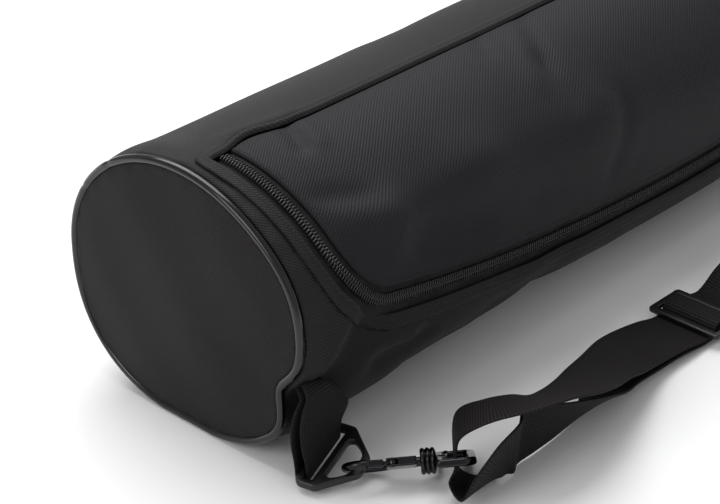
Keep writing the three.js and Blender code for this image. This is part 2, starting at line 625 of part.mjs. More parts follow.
const upperStrand = [
  { x: 0.15, y: 0.1, z: 0.81, across: [0.73, 0.66, -0.18] },
  { x: 0.36, y: -0.22, z: 1.09, across: [0.74, 0.63, -0.24] },
  { x: 0.74, y: -0.57, z: 1.21, across: [0.46, 0.82, -0.34] },
  { x: 1.2, y: -0.7, z: 1.14, across: [0.05, 0.91, -0.41] },
  { x: 1.68, y: -0.69, z: 1.00, across: [-0.2, 0.94, -0.29] },
  { x: 2.19, y: -0.57, z: 0.84, across: [-0.32, 0.93, -0.18] },
  { x: 2.69, y: -0.4, z: 0.69, across: [-0.33, 0.94, -0.11] },
  { x: 3.21, y: -0.26, z: 0.54, across: [-0.28, 0.96, 0] },
  { x: 3.71, y: -0.12, z: 0.42, across: [-0.18, 0.98, 0.1] },
  { x: 4.22, y: -0.03, z: 0.3, across: [-0.08, 0.99, 0.1] },
  { x: 4.81, y: -0.03, z: 0.22, across: [-0.03, 1, 0.04] },
];

// The single strand: x is a share of the way from the adjuster to the far hook's loop, and out a share of the bow.
const farStrand = [
  { x: 0.08, out: 0, rise: 0.1, across: [0, 1, 0] },
  { x: 0.12, out: 0.01, rise: 0.24, across: [0, 0.92, 0.4] },
  { x: 0.165, out: 0.03, rise: 0.43, across: [0.05, 0.65, 0.76] },
  { x: 0.21, out: 0.1, rise: 0.54, across: [0.05, 0.1, 0.99] },
  { x: 0.275, out: 0.3, rise: 0.54, across: [0, 0, 1] },
  { x: 0.34, out: 0.58, rise: 0.54, across: [0, 0, 1] },
  { x: 0.445, out: 0.86, rise: 0.54, across: [0, 0, 1] },
  { x: 0.59, out: 1, rise: 0.54, across: [0, 0, 1] },
  { x: 0.735, out: 0.86, rise: 0.54, across: [0, 0, 1] },
  { x: 0.832, out: 0.58, rise: 0.54, across: [0.05, 0, 1] },
  { x: 0.87, out: 0.38, rise: 0.53, across: [0.3, -0.25, 0.92] },
];

function strapStations() {
  const clear = webbing.thick / 2 + gap;
  const loopAcross = new THREE.Vector3().setFromMatrixColumn(loopFrame, 1);
  const inLoop = [-1, 1].map((side) => ({
    middle: new THREE.Vector3(openingMiddle, 0, side * loop.thick * 0.7).applyMatrix4(loopFrame),
    across: loopAcross,
  }));
  const nearHook = ({ x, y, z, across }) => ({
    middle: new THREE.Vector3(strapStart.x + x * webbing.width, strapStart.y + y * webbing.width, z * webbing.width),
    across: new THREE.Vector3(...across).normalize(),
  });
  const along = (share) => THREE.MathUtils.lerp(adjusterMiddle, -strapStart.x, share);
  const onBow = ({ x, out, rise, across }) => ({
    middle: new THREE.Vector3(along(x), strapLine - out * strap.bow, rise * webbing.width),
    across: new THREE.Vector3(...across).normalize(),
  });
  // In the adjuster the webbing runs level across the bag's front, so a place there is along it and up.
  const inAdjuster = (x, z) => ({
    middle: new THREE.Vector3(adjusterMiddle + x, strapLine, z),
    across: new THREE.Vector3(0, 1, 0),
  });
  const middleHeight = adjuster.lift + adjuster.thick / 2;
  const [wide, deep] = [adjuster.bar / 2 + clear, adjuster.thick / 2 + clear];
  const under = adjuster.lift - clear;
  const pitch = webbing.thick + gap;
  const half = adjuster.length / 2;
  // The fixed end is folded round the middle bar.
  const fixedEnd = [];
  for (let k = 0; k <= 8; k++) {
    const angle = THREE.MathUtils.degToRad(-100 + k * 35);
    const [c, s] = [Math.cos(angle), Math.sin(angle)];
    const x = wide * Math.sign(c) * Math.abs(c) ** 0.52;
    fixedEnd.push(inAdjuster(x, middleHeight + deep * Math.sign(s) * Math.abs(s) ** 0.52));
  }
  fixedEnd.push(inAdjuster(-wide - 0.4, under + 0.8), inAdjuster(-wide - 1.9, under - 0.45 * pitch));
  fixedEnd.push(inAdjuster(-wide - 4.7, under - 0.95 * pitch), inAdjuster(-half - 3, under - 1.1 * pitch));
  // The sliding strand goes under the end bars and over the middle one.
  const top = adjuster.lift + adjuster.thick + pitch + clear;
  const climb = [
    [half + 3, under],
    [half - adjuster.bar, under - 0.1],
    [half - adjuster.bar - 1.6, under + 0.9],
    [half - adjuster.bar - 2.3, middleHeight],
    [half - adjuster.bar - 3, top - 2.3],
    [wide + 2.2, top - 0.5],
  ];
  const sliding = climb.map(([x, z]) => inAdjuster(-x, z));
  sliding.push(inAdjuster(0, top), ...climb.reverse().map(([x, z]) => inAdjuster(x, z)));
  // The far end is folded round the far loop's outer bar.
  const farFrame = new THREE.Matrix4().makeScale(-1, 1, 1).multiply(loopFrame);
  const farAcross = new THREE.Vector3().setFromMatrixColumn(farFrame, 1).negate();
  const atFarLoop = (x, z) => ({ middle: new THREE.Vector3(x, 0, z).applyMatrix4(farFrame), across: farAcross });
  const bar = openingMiddle + (loop.opening + loop.bar) / 2;
  const round = loop.bar / 2 + clear;
  const folded = [atFarLoop(bar + strap.hem + 6, 0.55 * pitch), atFarLoop(bar + 14, 0.6 * pitch)];
  folded.push(atFarLoop(bar + 7, 0.8 * pitch + 0.6));
  for (let k = 0; k <= 8; k++) {
    const angle = THREE.MathUtils.degToRad(60 + k * 30);
    const [c, s] = [Math.cos(angle), Math.sin(angle)];
    folded.push(atFarLoop(bar + round * Math.sign(c) * Math.abs(c) ** 0.52, round * Math.sign(s) * Math.abs(s) ** 0.52));
  }
  folded.push(atFarLoop(bar + 7, -0.8 * pitch - 0.6), atFarLoop(bar + 14, -0.6 * pitch));
  folded.push(atFarLoop(bar + strap.hem, -0.55 * pitch));
  const strands = [...lowerStrand.map(nearHook), ...inLoop, ...upperStrand.map(nearHook)];
  return [...fixedEnd, ...strands, ...sliding, ...farStrand.map(onBow), ...folded];
}

function adjusterFrame() {
  const outer = slotHalf + adjuster.bar;
  const half = adjuster.length / 2;
  const plate = bevelledPlate(rectangle(-half, half, -outer, outer), adjuster.thick, adjuster.bevel);
  const windowLength = (adjuster.length - 3 * adjuster.bar) / 2;
  const windows = [-1, 1].map((side) => {
    const window = new THREE.BoxGeometry(windowLength, 2 * slotHalf, 2 * adjuster.thick);
    return window.translate((side * (windowLength + adjuster.bar)) / 2, 0, 0);
  });
  return geometryOf(cutBy(solidOf(plate), ...windows.map(solidOf)));
}

addPiece("strap_webbing", ribbon(strapStations(), 2), strapWeave);
const frameMesh = addPiece("strap_adjuster", adjusterFrame(), acetal);
frameMesh.position.set(adjusterMiddle, strapLine, adjuster.lift + adjuster.thick / 2);

export default root;
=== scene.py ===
# Yoga mat bag: cloth, zip, piping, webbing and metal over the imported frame, on a pale studio floor
import bmesh
import bpy
import math
import numpy as np
from mathutils import Matrix, Vector
from mathutils.geometry import tessellate_polygon


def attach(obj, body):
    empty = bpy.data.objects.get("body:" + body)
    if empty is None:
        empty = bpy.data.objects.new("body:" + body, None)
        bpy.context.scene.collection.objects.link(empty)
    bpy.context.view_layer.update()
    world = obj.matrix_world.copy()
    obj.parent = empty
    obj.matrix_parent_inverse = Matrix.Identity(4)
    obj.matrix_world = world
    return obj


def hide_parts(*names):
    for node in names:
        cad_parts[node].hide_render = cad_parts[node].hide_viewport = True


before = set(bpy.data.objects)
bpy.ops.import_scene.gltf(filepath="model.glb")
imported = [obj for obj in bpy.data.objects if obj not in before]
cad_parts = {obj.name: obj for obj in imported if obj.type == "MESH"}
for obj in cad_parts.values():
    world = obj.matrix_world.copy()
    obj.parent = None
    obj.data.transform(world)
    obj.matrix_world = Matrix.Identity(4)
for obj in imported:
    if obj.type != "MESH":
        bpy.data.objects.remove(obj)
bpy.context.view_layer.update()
scene = bpy.context.scene
mm = 0.001
print("frame loaded")

# Camera, floor and studio light
camera = {"place": (-1.0498, -0.7876, 0.7138), "azimuth": -47.15, "elevation": 29.86, "lens": 115}
studio = {"floorHalf": 7, "worldTone": "#f8f8fa", "worldStrength": 0.5}
lights = [
    {"name": "over and behind", "place": (0.1, 0.75, 1.5), "aim": (0, 0, 0.08), "size": 1.5, "power": 30},
    {"name": "left side", "place": (-1.9, 0.1, 1.1), "aim": (-0.25, 0, 0.06), "size": 0.9, "power": 9},
    {"name": "front fill", "place": (-0.5, -2.1, 0.9), "aim": (0, 0, 0.05), "size": 1.4, "power": 1.5},
]


def toLinear(hexColour):
    channels = [int(hexColour[i:i + 2], 16) / 255 for i in (1, 3, 5)]
    return (*[c / 12.92 if c <= 0.04045 else ((c + 0.055) / 1.055) ** 2.4 for c in channels], 1)


def addNode(tree, kind, inputs=(), **settings):  # inputs are (socket name or number, value or output socket)
    made = tree.nodes.new(kind)
    for name, value in settings.items():
        setattr(made, name, value)
    for name, value in inputs:
        if isinstance(value, bpy.types.NodeSocket):
            tree.links.new(value, made.inputs[name])
        else:
            made.inputs[name].default_value = value
    return made


def newMaterial(name):
    material = bpy.data.materials.new(name)
    material.use_nodes = True
    tree = material.node_tree
    return material, tree, tree.nodes["Principled BSDF"]


def makeStage():
    view = bpy.data.objects.new("photoCamera", bpy.data.cameras.new("photoCamera"))
    scene.collection.objects.link(view)
    view.data.lens = camera["lens"]
    turn, rise = math.radians(camera["azimuth"]), math.radians(camera["elevation"])
    back = Vector((math.sin(turn) * math.cos(rise), -math.cos(turn) * math.cos(rise), math.sin(rise)))
    view.location = camera["place"]
    view.rotation_mode = "QUATERNION"
    view.rotation_quaternion = (-back).to_track_quat("-Z", "Y")
    scene.camera = view

    half = studio["floorHalf"]
    floorMesh = bpy.data.meshes.new("studioFloor")
    corners = [(-half, -half, 0), (half, -half, 0), (half, half, 0), (-half, half, 0)]
    floorMesh.from_pydata(corners, [], [(0, 1, 2, 3)])
    floor = bpy.data.objects.new("studioFloor", floorMesh)
    scene.collection.objects.link(floor)
    paper, tree, shader = newMaterial("matt white paper sweep")
    grain = addNode(tree, "ShaderNodeTexNoise", [("Scale", 9), ("Detail", 3)])
    tones = addNode(tree, "ShaderNodeMix", [("Factor", grain.outputs["Fac"])], data_type="RGBA")
    tones.inputs[6].default_value = toLinear("#f8f8f8")
    tones.inputs[7].default_value = toLinear("#fdfdfd")
    tree.links.new(tones.outputs[2], shader.inputs["Base Color"])
    shader.inputs["Roughness"].default_value = 0.9
    floorMesh.materials.append(paper)

    for light in lights:
        lamp = bpy.data.objects.new(light["name"], bpy.data.lights.new(light["name"], "AREA"))
        scene.collection.objects.link(lamp)
        lamp.data.shape = "SQUARE"
        lamp.data.size = light["size"]
        lamp.data.energy = light["power"]
        lamp.location = light["place"]
        aim = Vector(light["aim"]) - Vector(light["place"])
        lamp.rotation_euler = aim.to_track_quat("-Z", "Y").to_euler()
    world = scene.world or bpy.data.worlds.new("studio")
    scene.world = world
    scene.view_settings.view_transform = "Standard"
    world.use_nodes = True
    background = world.node_tree.nodes["Background"]
    background.inputs["Color"].default_value = toLinear(studio["worldTone"])
    background.inputs["Strength"].default_value = studio["worldStrength"]


makeStage()
print("camera, floor and lights")

# Woven polyester, twill weave: a matt black with fine slanting ribs, whose crests are painted lighter in the colour
# as a painted highlight on top of their bump. Random patches and slubs vary the tone, and the cloth has a faint
# sheen at glancing angles. Its ribs are 0.8 mm apart on the real cloth and are drawn 1.5 mm apart, so that they
# show.
twills = {
    "main": {"light": "#242325", "dark": "#0f0e0f", "ribs": 1.5, "slant": -52, "roughness": 0.62},
    "panel": {"light": "#232327", "dark": "#0e0e10", "ribs": 1.5, "slant": 52, "roughness": 0.62},
    "end": {"light": "#211e1e", "dark": "#0e0c0c", "ribs": 1.6, "slant": 62, "roughness": 0.7},
}
waveRepeat = math.pi / 10  # a wave texture repeats after this length at scale 1
clothShine = {"twill": 0.2, "webbing": 0.15, "sheen": 0.02, "sheenRoughness": 0.45}


def wovenTwill(name, look):
    material, tree, shader = newMaterial(name)
    flat = addNode(tree, "ShaderNodeUVMap", uv_map="weave")
    turned = addNode(tree, "ShaderNodeMapping", [("Vector", flat.outputs[0])])
    turned.inputs["Rotation"].default_value = (0, 0, math.radians(look["slant"]))
    ribScale = waveRepeat / (look["ribs"] * mm)
    ribs = addNode(tree, "ShaderNodeTexWave", [("Vector", turned.outputs[0]), ("Scale", ribScale),
                                               ("Distortion", 0.7), ("Detail", 2), ("Detail Scale", 0.35)])
    threads = addNode(tree, "ShaderNodeTexWave", [("Vector", flat.outputs[0]), ("Scale", ribScale * 1.3),
                                                  ("Distortion", 0.5)], bands_direction="Y")
    both = addNode(tree, "ShaderNodeMath", [(0, ribs.outputs["Fac"]), (1, threads.outputs["Fac"])],
                   operation="MULTIPLY_ADD")
    both.inputs[2].default_value = 0
    height = addNode(tree, "ShaderNodeMath", [(0, ribs.outputs["Fac"]), (1, both.outputs[0])], operation="ADD")
    patches = addNode(tree, "ShaderNodeTexNoise", [("Vector", flat.outputs[0]), ("Scale", 26), ("Detail", 4),
                                                   ("Roughness", 0.6)])
    slubs = addNode(tree, "ShaderNodeTexNoise", [("Vector", turned.outputs[0]), ("Scale", 620), ("Detail", 2)])
    # Colour tone: the rib crests made lighter here are a painted highlight; the patches and slubs below are the
    # cloth's random tone
    tone = addNode(tree, "ShaderNodeMath", [(0, ribs.outputs["Fac"]), (1, 0.5)], operation="MULTIPLY")
    tone = addNode(tree, "ShaderNodeMath", [(0, patches.outputs["Fac"]), (1, 0.35), (2, tone.outputs[0])],
                   operation="MULTIPLY_ADD")
    tone = addNode(tree, "ShaderNodeMath", [(0, slubs.outputs["Fac"]), (1, 0.3), (2, tone.outputs[0])],
                   operation="MULTIPLY_ADD", use_clamp=True)
    colour = addNode(tree, "ShaderNodeMix", [("Factor", tone.outputs[0])], data_type="RGBA")
    colour.inputs[6].default_value = toLinear(look["dark"])
    colour.inputs[7].default_value = toLinear(look["light"])
    bump = addNode(tree, "ShaderNodeBump", [("Height", height.outputs[0]), ("Strength", 0.5),
                                            ("Distance", 0.22 * mm)])
    tree.links.new(colour.outputs[2], shader.inputs["Base Color"])
    tree.links.new(bump.outputs[0], shader.inputs["Normal"])
    shader.inputs["Roughness"].default_value = look["roughness"]
    shader.inputs["Specular IOR Level"].default_value = clothShine["twill"]
    shader.inputs["Sheen Weight"].default_value = clothShine["sheen"]
    shader.inputs["Sheen Roughness"].default_value = clothShine["sheenRoughness"]
    return material


# Woven polypropylene webbing: rows of ribs straight across it, with rounded crests and gaps; in the colour the
# crests are painted lighter as a painted highlight and the gaps darker as painted shade.
# Its ribs are 1.1 mm apart and are drawn 1.6 mm apart, so that they show.
webbingLook = {"light": "#2b2726", "dark": "#0c0b0b", "ribs": 1.6, "columns": 3.2, "roughness": 0.68}


def wovenWebbing():
    material, tree, shader = newMaterial("woven polypropylene webbing")
    flat = addNode(tree, "ShaderNodeUVMap", uv_map="weave")
    ribScale, columnScale = [waveRepeat / (webbingLook[part] * mm) for part in ("ribs", "columns")]
    ribs = addNode(tree, "ShaderNodeTexWave", [("Vector", flat.outputs[0]), ("Distortion", 0.3),
                                               ("Scale", ribScale)], bands_direction="Y")
    columns = addNode(tree, "ShaderNodeTexWave", [("Vector", flat.outputs[0]), ("Scale", columnScale)])
    height = addNode(tree, "ShaderNodeMath", [(0, columns.outputs["Fac"]), (1, 0.35), (2, ribs.outputs["Fac"])],
                     operation="MULTIPLY_ADD")
    fuzz = addNode(tree, "ShaderNodeTexNoise", [("Vector", flat.outputs[0]), ("Scale", 900), ("Detail", 2)])
    # The colour follows the rib height: painted highlight on the crests and painted shade in the gaps, broken up by
    # fine fuzz
    tone = addNode(tree, "ShaderNodeMath", [(0, height.outputs[0]), (1, fuzz.outputs["Fac"])], operation="MULTIPLY")
    colour = addNode(tree, "ShaderNodeMix", [("Factor", tone.outputs[0])], data_type="RGBA")
    colour.inputs[6].default_value = toLinear(webbingLook["dark"])
    colour.inputs[7].default_value = toLinear(webbingLook["light"])
    bump = addNode(tree, "ShaderNodeBump", [("Height", height.outputs[0]), ("Strength", 0.7),
                                            ("Distance", 0.35 * mm)])
    tree.links.new(colour.outputs[2], shader.inputs["Base Color"])
    tree.links.new(bump.outputs[0], shader.inputs["Normal"])
    shader.inputs["Roughness"].default_value = webbingLook["roughness"]
    shader.inputs["Specular IOR Level"].default_value = clothShine["webbing"]
    return material


# Smooth finishes: grain is the size of the surface's unevenness in millimetres, and depth how high it stands
finishes = {
    # Extruded PVC: a glossy black with a soft waviness, so its highlight wanders a little
    "extruded PVC piping": {"tone": "#050505", "other": "#0a0909", "roughness": 0.17, "grain": 5, "depth": 0.12},
    # Nylon monofilament: half clear and shiny, so the teeth sparkle in a row
    "nylon monofilament coil": {"tone": "#1b1b1c", "other": "#262628", "roughness": 0.22, "grain": 1, "depth": 0.02},
    # Woven polyester zip tape: flat black that takes little light
    "woven polyester zip tape": {"tone": "#080808", "other": "#0f0f10", "roughness": 0.88, "grain": 0.7,
                                 "depth": 0.15},
    # Injection moulded acetal: satin black with a very fine spark-eroded texture
    "moulded acetal": {"tone": "#0a0a0b", "other": "#121214", "roughness": 0.38, "grain": 0.6, "depth": 0.03},
    # Spun polyester thread: matt black with a slight twist
    "spun polyester thread": {"tone": "#111112", "other": "#1c1c1e", "roughness": 0.65, "grain": 0.4, "depth": 0.05},
    # Zinc casting plated in black nickel: a dark mirror that is slightly uneven
    "black nickel plated zinc": {"tone": "#2b2a2c", "other": "#3a393b", "roughness": 0.2, "grain": 3, "depth": 0.03,
                                 "metallic": 1},
}


def smoothFinish(name):
    look = finishes[name]
    material, tree, shader = newMaterial(name)
    place = addNode(tree, "ShaderNodeTexCoord")
    grain = addNode(tree, "ShaderNodeTexNoise", [("Vector", place.outputs["Object"]), ("Detail", 3),
                                                 ("Scale", 1 / (look["grain"] * mm))])
    wear = addNode(tree, "ShaderNodeTexNoise", [("Vector", place.outputs["Object"]), ("Scale", 70), ("Detail", 5)])
    colour = addNode(tree, "ShaderNodeMix", [("Factor", wear.outputs["Fac"])], data_type="RGBA")
    colour.inputs[6].default_value = toLinear(look["tone"])
    colour.inputs[7].default_value = toLinear(look["other"])
    gloss = addNode(tree, "ShaderNodeMapRange", [("Value", wear.outputs["Fac"]), ("From Min", 0.3),
                                                 ("From Max", 0.7), ("To Min", look["roughness"] * 0.85),
                                                 ("To Max", look["roughness"] * 1.2)])
    bump = addNode(tree, "ShaderNodeBump", [("Height", grain.outputs["Fac"]), ("Strength", 0.4),
                                            ("Distance", look["depth"] * mm)])
    tree.links.new(colour.outputs[2], shader.inputs["Base Color"])
    tree.links.new(gloss.outputs[0], shader.inputs["Roughness"])
    tree.links.new(bump.outputs[0], shader.inputs["Normal"])
    shader.inputs["Metallic"].default_value = look.get("metallic", 0)
    return material


mainTwill = wovenTwill("woven polyester twill, main", twills["main"])
panelTwill = wovenTwill("woven polyester twill, panel", twills["panel"])
endTwill = wovenTwill("woven polyester twill, ends", twills["end"])
webbingWeave = wovenWebbing()
pipingVinyl = smoothFinish("extruded PVC piping")
coilNylon = smoothFinish("nylon monofilament coil")
zipTape = smoothFinish("woven polyester zip tape")
acetal = smoothFinish("moulded acetal")
thread = smoothFinish("spun polyester thread")
blackNickel = smoothFinish("black nickel plated zinc")
print("materials")

# The bag's form in millimetres: X along it, turn in degrees from the front over the top, girth the way round it
bag = {"length": 680, "width": 179, "height": 160, "cloth": 1.6, "settle": 1, "topRound": 2, "underRound": 2.35}
halfLength, axisHeight = bag["length"] / 2, bag["height"] / 2
meanRadius = (bag["width"] + bag["height"]) / 4
mmPerDegree = math.radians(meanRadius)
gap = 0.3

# Where the cloth stands in or out of its oval: at and along are shares of the half length, rise of the mean radius
forms = [
    {"at": -1, "turn": -20, "along": 0.055, "round": 11, "rise": -0.135},
    {"at": 1, "turn": -20, "along": 0.055, "round": 11, "rise": -0.135},
    {"at": -0.94, "turn": 24, "along": 0.16, "round": 18, "rise": 0.036},
    {"at": 0.94, "turn": 24, "along": 0.16, "round": 18, "rise": 0.036},
    {"at": -0.78, "turn": -46, "along": 0.22, "round": 24, "rise": 0.03},
    {"at": 0.78, "turn": -46, "along": 0.22, "round": 24, "rise": 0.03},
    {"at": -0.36, "turn": -38, "along": 0.05, "round": 20, "rise": -0.036},
    {"at": 0.06, "turn": -42, "along": 0.22, "round": 24, "rise": 0.034},
    {"at": 0.25, "turn": 168, "along": 0.2, "round": 26, "rise": -0.025},
    {"at": -0.35, "turn": 188, "along": 0.25, "round": 24, "rise": 0.022},
]


def bell(t):
    return np.exp(-np.square(t))


def easeStep(t, low, high):
    t = np.clip((np.asarray(t, float) - low) / (high - low), 0, 1)
    return t * t * (3 - 2 * t)


def clothRadius(x, turn):
    x, turn = np.broadcast_arrays(np.asarray(x, float), np.asarray(turn, float))
    angle = np.radians(turn)
    under = np.sin(angle) < 0
    across = np.abs(np.cos(angle)) / (bag["width"] / 2)
    high = np.abs(np.sin(angle)) / (axisHeight + np.where(under, bag["settle"], 0))
    power = np.where(under, bag["underRound"], bag["topRound"])
    radius = (across ** power + high ** power) ** (-1 / power)
    for form in forms:
        away = (turn - form["turn"] + 180) % 360 - 180
        along = (x / halfLength - form["at"]) / form["along"]
        radius = radius + form["rise"] * meanRadius * bell(along) * bell(away / form["round"])
    flat = axisHeight / np.maximum(-np.sin(angle), 0.01)
    return np.where(under, np.minimum(radius, flat), radius)


def onCloth(x, girth, height=0.0):
    x, girth, height = np.broadcast_arrays(*[np.asarray(v, float) for v in (x, girth, height)])
    turn = girth / mmPerDegree
    radius = clothRadius(x, turn) + height
    angle = np.radians(turn)
    z = np.maximum(axisHeight + radius * np.sin(angle), 0.02)  # nothing goes through the floor
    return np.stack([x, -radius * np.cos(angle), z], axis=-1)


# Mesh helpers
def newPiece(name, points, faces, material, slot, body="bag", replaces=(), flat=None, sharp=None):
    mesh = bpy.data.meshes.new(name)
    mesh.from_pydata((np.asarray(points, float) * mm).tolist(), [], [list(map(int, face)) for face in faces])
    if flat is not None:
        layer = mesh.uv_layers.new(name="weave")
        corners = np.empty(len(mesh.loops), int)
        mesh.loops.foreach_get("vertex_index", corners)
        layer.data.foreach_set("uv", (np.asarray(flat, float)[corners] * mm).astype(np.float32).ravel())
    mesh.shade_smooth()
    if sharp:
        mesh.set_sharp_from_angle(angle=math.radians(sharp))
    mesh.materials.append(material)
    piece = bpy.data.objects.new(name, mesh)
    scene.collection.objects.link(piece)
    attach(piece, body)
    if replaces:
        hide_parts(*replaces)
    return piece


def gridFaces(rows, columns):
    i, j = np.meshgrid(np.arange(rows - 1), np.arange(columns - 1), indexing="ij")
    a = (i * columns + j).ravel()
    return np.stack([a, a + columns, a + columns + 1, a + 1], axis=1)


def weld(piece):
    work = bmesh.new()
    work.from_mesh(piece.data)
    bmesh.ops.remove_doubles(work, verts=work.verts, dist=0.02 * mm)
    work.to_mesh(piece.data)
    work.free()


def thicken(piece, thick):
    modifier = piece.modifiers.new("cloth thickness", "SOLIDIFY")
    modifier.thickness = thick * mm
    modifier.offset = -1


def joinParts(*parts):
    points, faces, count = [], [], 0
    for partPoints, partFaces in parts:
        points.append(np.asarray(partPoints, float))
        faces += [[int(k) + count for k in face] for face in partFaces]
        count += len(partPoints)
    return np.vstack(points), faces


# Places on the flat cloth, for the zipped panel and all that follows its edge
panel = {"endGap": 24, "slant": 9, "topTurn": 83.5, "lowTurn": 13.5, "sag": 42, "corner": 35, "puff": 11,
         "shoulderTurn": 30}
reveal = {"bag": 9.5, "panel": 7}  # from the zip's middle to the cloth's edge at each side
topGirth = panel["topTurn"] * mmPerDegree


def topSeam(x):  # the seam lifts in a small pleat near each end
    return topGirth + 5.5 * bell((x + 294) / 17) + 2 * bell((x - 300) / 14)


def panelPlace(u, v, inset=0.0):
    u, v = np.broadcast_arrays(np.asarray(u, float), np.asarray(v, float))
    low = panel["lowTurn"] * mmPerDegree + inset
    corner = max(panel["corner"] - inset, 1)
    left = halfLength - panel["endGap"] - inset
    intoCorner = np.maximum(corner - (1 - v) * (topGirth - low), 0)
    rounding = corner - np.sqrt(np.maximum(corner ** 2 - intoCorner ** 2, 0))
    reach = left - panel["slant"] * v - rounding
    x = -reach + 2 * reach * u
    sag = panel["sag"] * (1 - (x / halfLength) ** 2)
    top = topSeam(x)
    return np.stack([x, top + (low - sag - top) * v], axis=-1)


def evenly(line, step):
    along = np.concatenate([[0], np.cumsum(np.linalg.norm(np.diff(line, axis=0), axis=1))])
    places = np.linspace(0, along[-1], max(int(round(along[-1] / step)) + 1, 2))
    return np.stack([np.interp(places, along, line[:, k]) for k in range(line.shape[1])], axis=-1)


def edgeLine(inset, step, first=0.0):  # down the left side, along the low edge and up the right side
    side = 1 - (1 - np.linspace(0, 1, 400)) ** 1.8
    side = side[side >= first]
    across = np.linspace(0, 1, 800)[1:-1]
    line = np.vstack([panelPlace(0, side, inset), panelPlace(across, 1, inset), panelPlace(1, side[::-1], inset)])
    return evenly(line, step)


def sideways(line, closed=False):  # the way out of the panel at each point of a line round it
    if closed:
        along = np.roll(line, -1, axis=0) - np.roll(line, 1, axis=0)
    else:
        along = np.gradient(line, axis=0)
    along /= np.linalg.norm(along, axis=1, keepdims=True)
    return along, np.stack([along[:, 1], -along[:, 0]], axis=-1)


def nearestOn(line, places, closed=False):
    starts = line if closed else line[:-1]
    ends = np.roll(line, -1, axis=0) if closed else line[1:]
    spans = ends - starts
    lengths = np.maximum((spans ** 2).sum(1), 1e-12)
    distances, nearest = np.empty(len(places)), np.empty_like(places)
    for k in range(0, len(places), 4000):
        some = places[k:k + 4000]
        share = np.clip(((some[:, None] - starts) * spans).sum(2) / lengths, 0, 1)
        feet = starts + share[..., None] * spans
        away = np.linalg.norm(some[:, None] - feet, axis=2)
        best = away.argmin(1)
        distances[k:k + 4000] = away[np.arange(len(some)), best]
        nearest[k:k + 4000] = feet[np.arange(len(some)), best]
    return distances, nearest


def insideOf(outline, places):
    starts, ends = outline, np.roll(outline, -1, axis=0)
    inside = np.zeros(len(places), bool)
    for (x0, y0), (x1, y1) in zip(starts, ends):
        crosses = (y0 > places[:, 1]) != (y1 > places[:, 1])
        with np.errstate(divide="ignore", invalid="ignore"):
            at = (x1 - x0) * (places[:, 1] - y0) / (y1 - y0) + x0
        inside ^= crosses & (places[:, 0] < at)
    return inside


# Creases and swells, each between two places on the flat cloth: rise is how far it stands out, half its half width
tubeFolds = [
    {"from": (-334, -22), "to": (-303, 16), "rise": 3.4, "half": 7},
    {"from": (-326, -38), "to": (-292, -4), "rise": -4.6, "half": 11},
    {"from": (-284, -16), "to": (-256, -24), "rise": 3, "half": 5},
    {"from": (-276, -32), "to": (-246, -30), "rise": -3.4, "half": 7},
    {"from": (-240, -30), "to": (-190, -52), "rise": 2.2, "half": 10},
    {"from": (-232, -56), "to": (-150, -46), "rise": -2.6, "half": 12},
    {"from": (-150, -34), "to": (-60, -48), "rise": 1.6, "half": 12},
    {"from": (334, -22), "to": (304, 14), "rise": 2.6, "half": 8},
    {"from": (322, -38), "to": (290, -6), "rise": -3.4, "half": 11},
    {"from": (250, -30), "to": (180, -50), "rise": 2, "half": 11},
    {"from": (-300, 136), "to": (-262, 130), "rise": 1.6, "half": 6},
    {"from": (-330, 150), "to": (-300, 175), "rise": -1.2, "half": 9},
    {"from": (-120, 190), "to": (-40, 215), "rise": -1.6, "half": 14},
    {"from": (120, 200), "to": (200, 180), "rise": 1.4, "half": 15},
    {"from": (260, 230), "to": (325, 205), "rise": -2, "half": 12},
    {"from": (-325, 235), "to": (-270, 215), "rise": -1.8, "half": 12},
]
panelFolds = [
    {"from": (-288, 52), "to": (-266, 45), "rise": 3.6, "half": 15},
    {"from": (-262, 44), "to": (-190, 48), "rise": 3.6, "half": 15},
    {"from": (-190, 48), "to": (-100, 42), "rise": 3, "half": 18},
    {"from": (-100, 42), "to": (120, 38), "rise": 2.6, "half": 18},
    {"from": (-268, 42), "to": (-266, 20), "rise": 2.2, "half": 12},
    {"from": (-240, 24), "to": (-206, 12), "rise": -4.5, "half": 14},
    {"from": (-286, 34), "to": (-291, 26), "rise": -2.4, "half": 8},
    {"from": (-300, 72), "to": (-276, 62), "rise": -2, "half": 7},
    {"from": (-270, 123), "to": (-278, 102), "rise": -2.4, "half": 4},
    {"from": (-262, 121), "to": (-268, 100), "rise": 1.5, "half": 5},
    {"from": (-74, 124), "to": (-102, 80), "rise": -1.9, "half": 7},
    {"from": (-102, 80), "to": (-104, 56), "rise": -1.7, "half": 7},
    {"from": (-88, 112), "to": (-118, 74), "rise": 1.4, "half": 8},
    {"from": (-116, 121), "to": (-126, 104), "rise": -1.2, "half": 5},
    {"from": (-70, 44), "to": (-80, 14), "rise": -2, "half": 8},
    {"from": (-150, 20), "to": (-60, 6), "rise": -1.6, "half": 10},
    {"from": (60, 118), "to": (90, 84), "rise": -1.4, "half": 8},
    {"from": (292, 52), "to": (262, 44), "rise": 4, "half": 11},
    {"from": (262, 44), "to": (170, 46), "rise": 3.4, "half": 14},
    {"from": (262, 42), "to": (258, 16), "rise": 3.6, "half": 9},
    {"from": (236, 26), "to": (200, 14), "rise": -3.6, "half": 12},
    {"from": (272, 123), "to": (282, 104), "rise": -1.8, "half": 5},
]


seamInset = 2.8  # the cloth's shaped part ends this far before the end seam


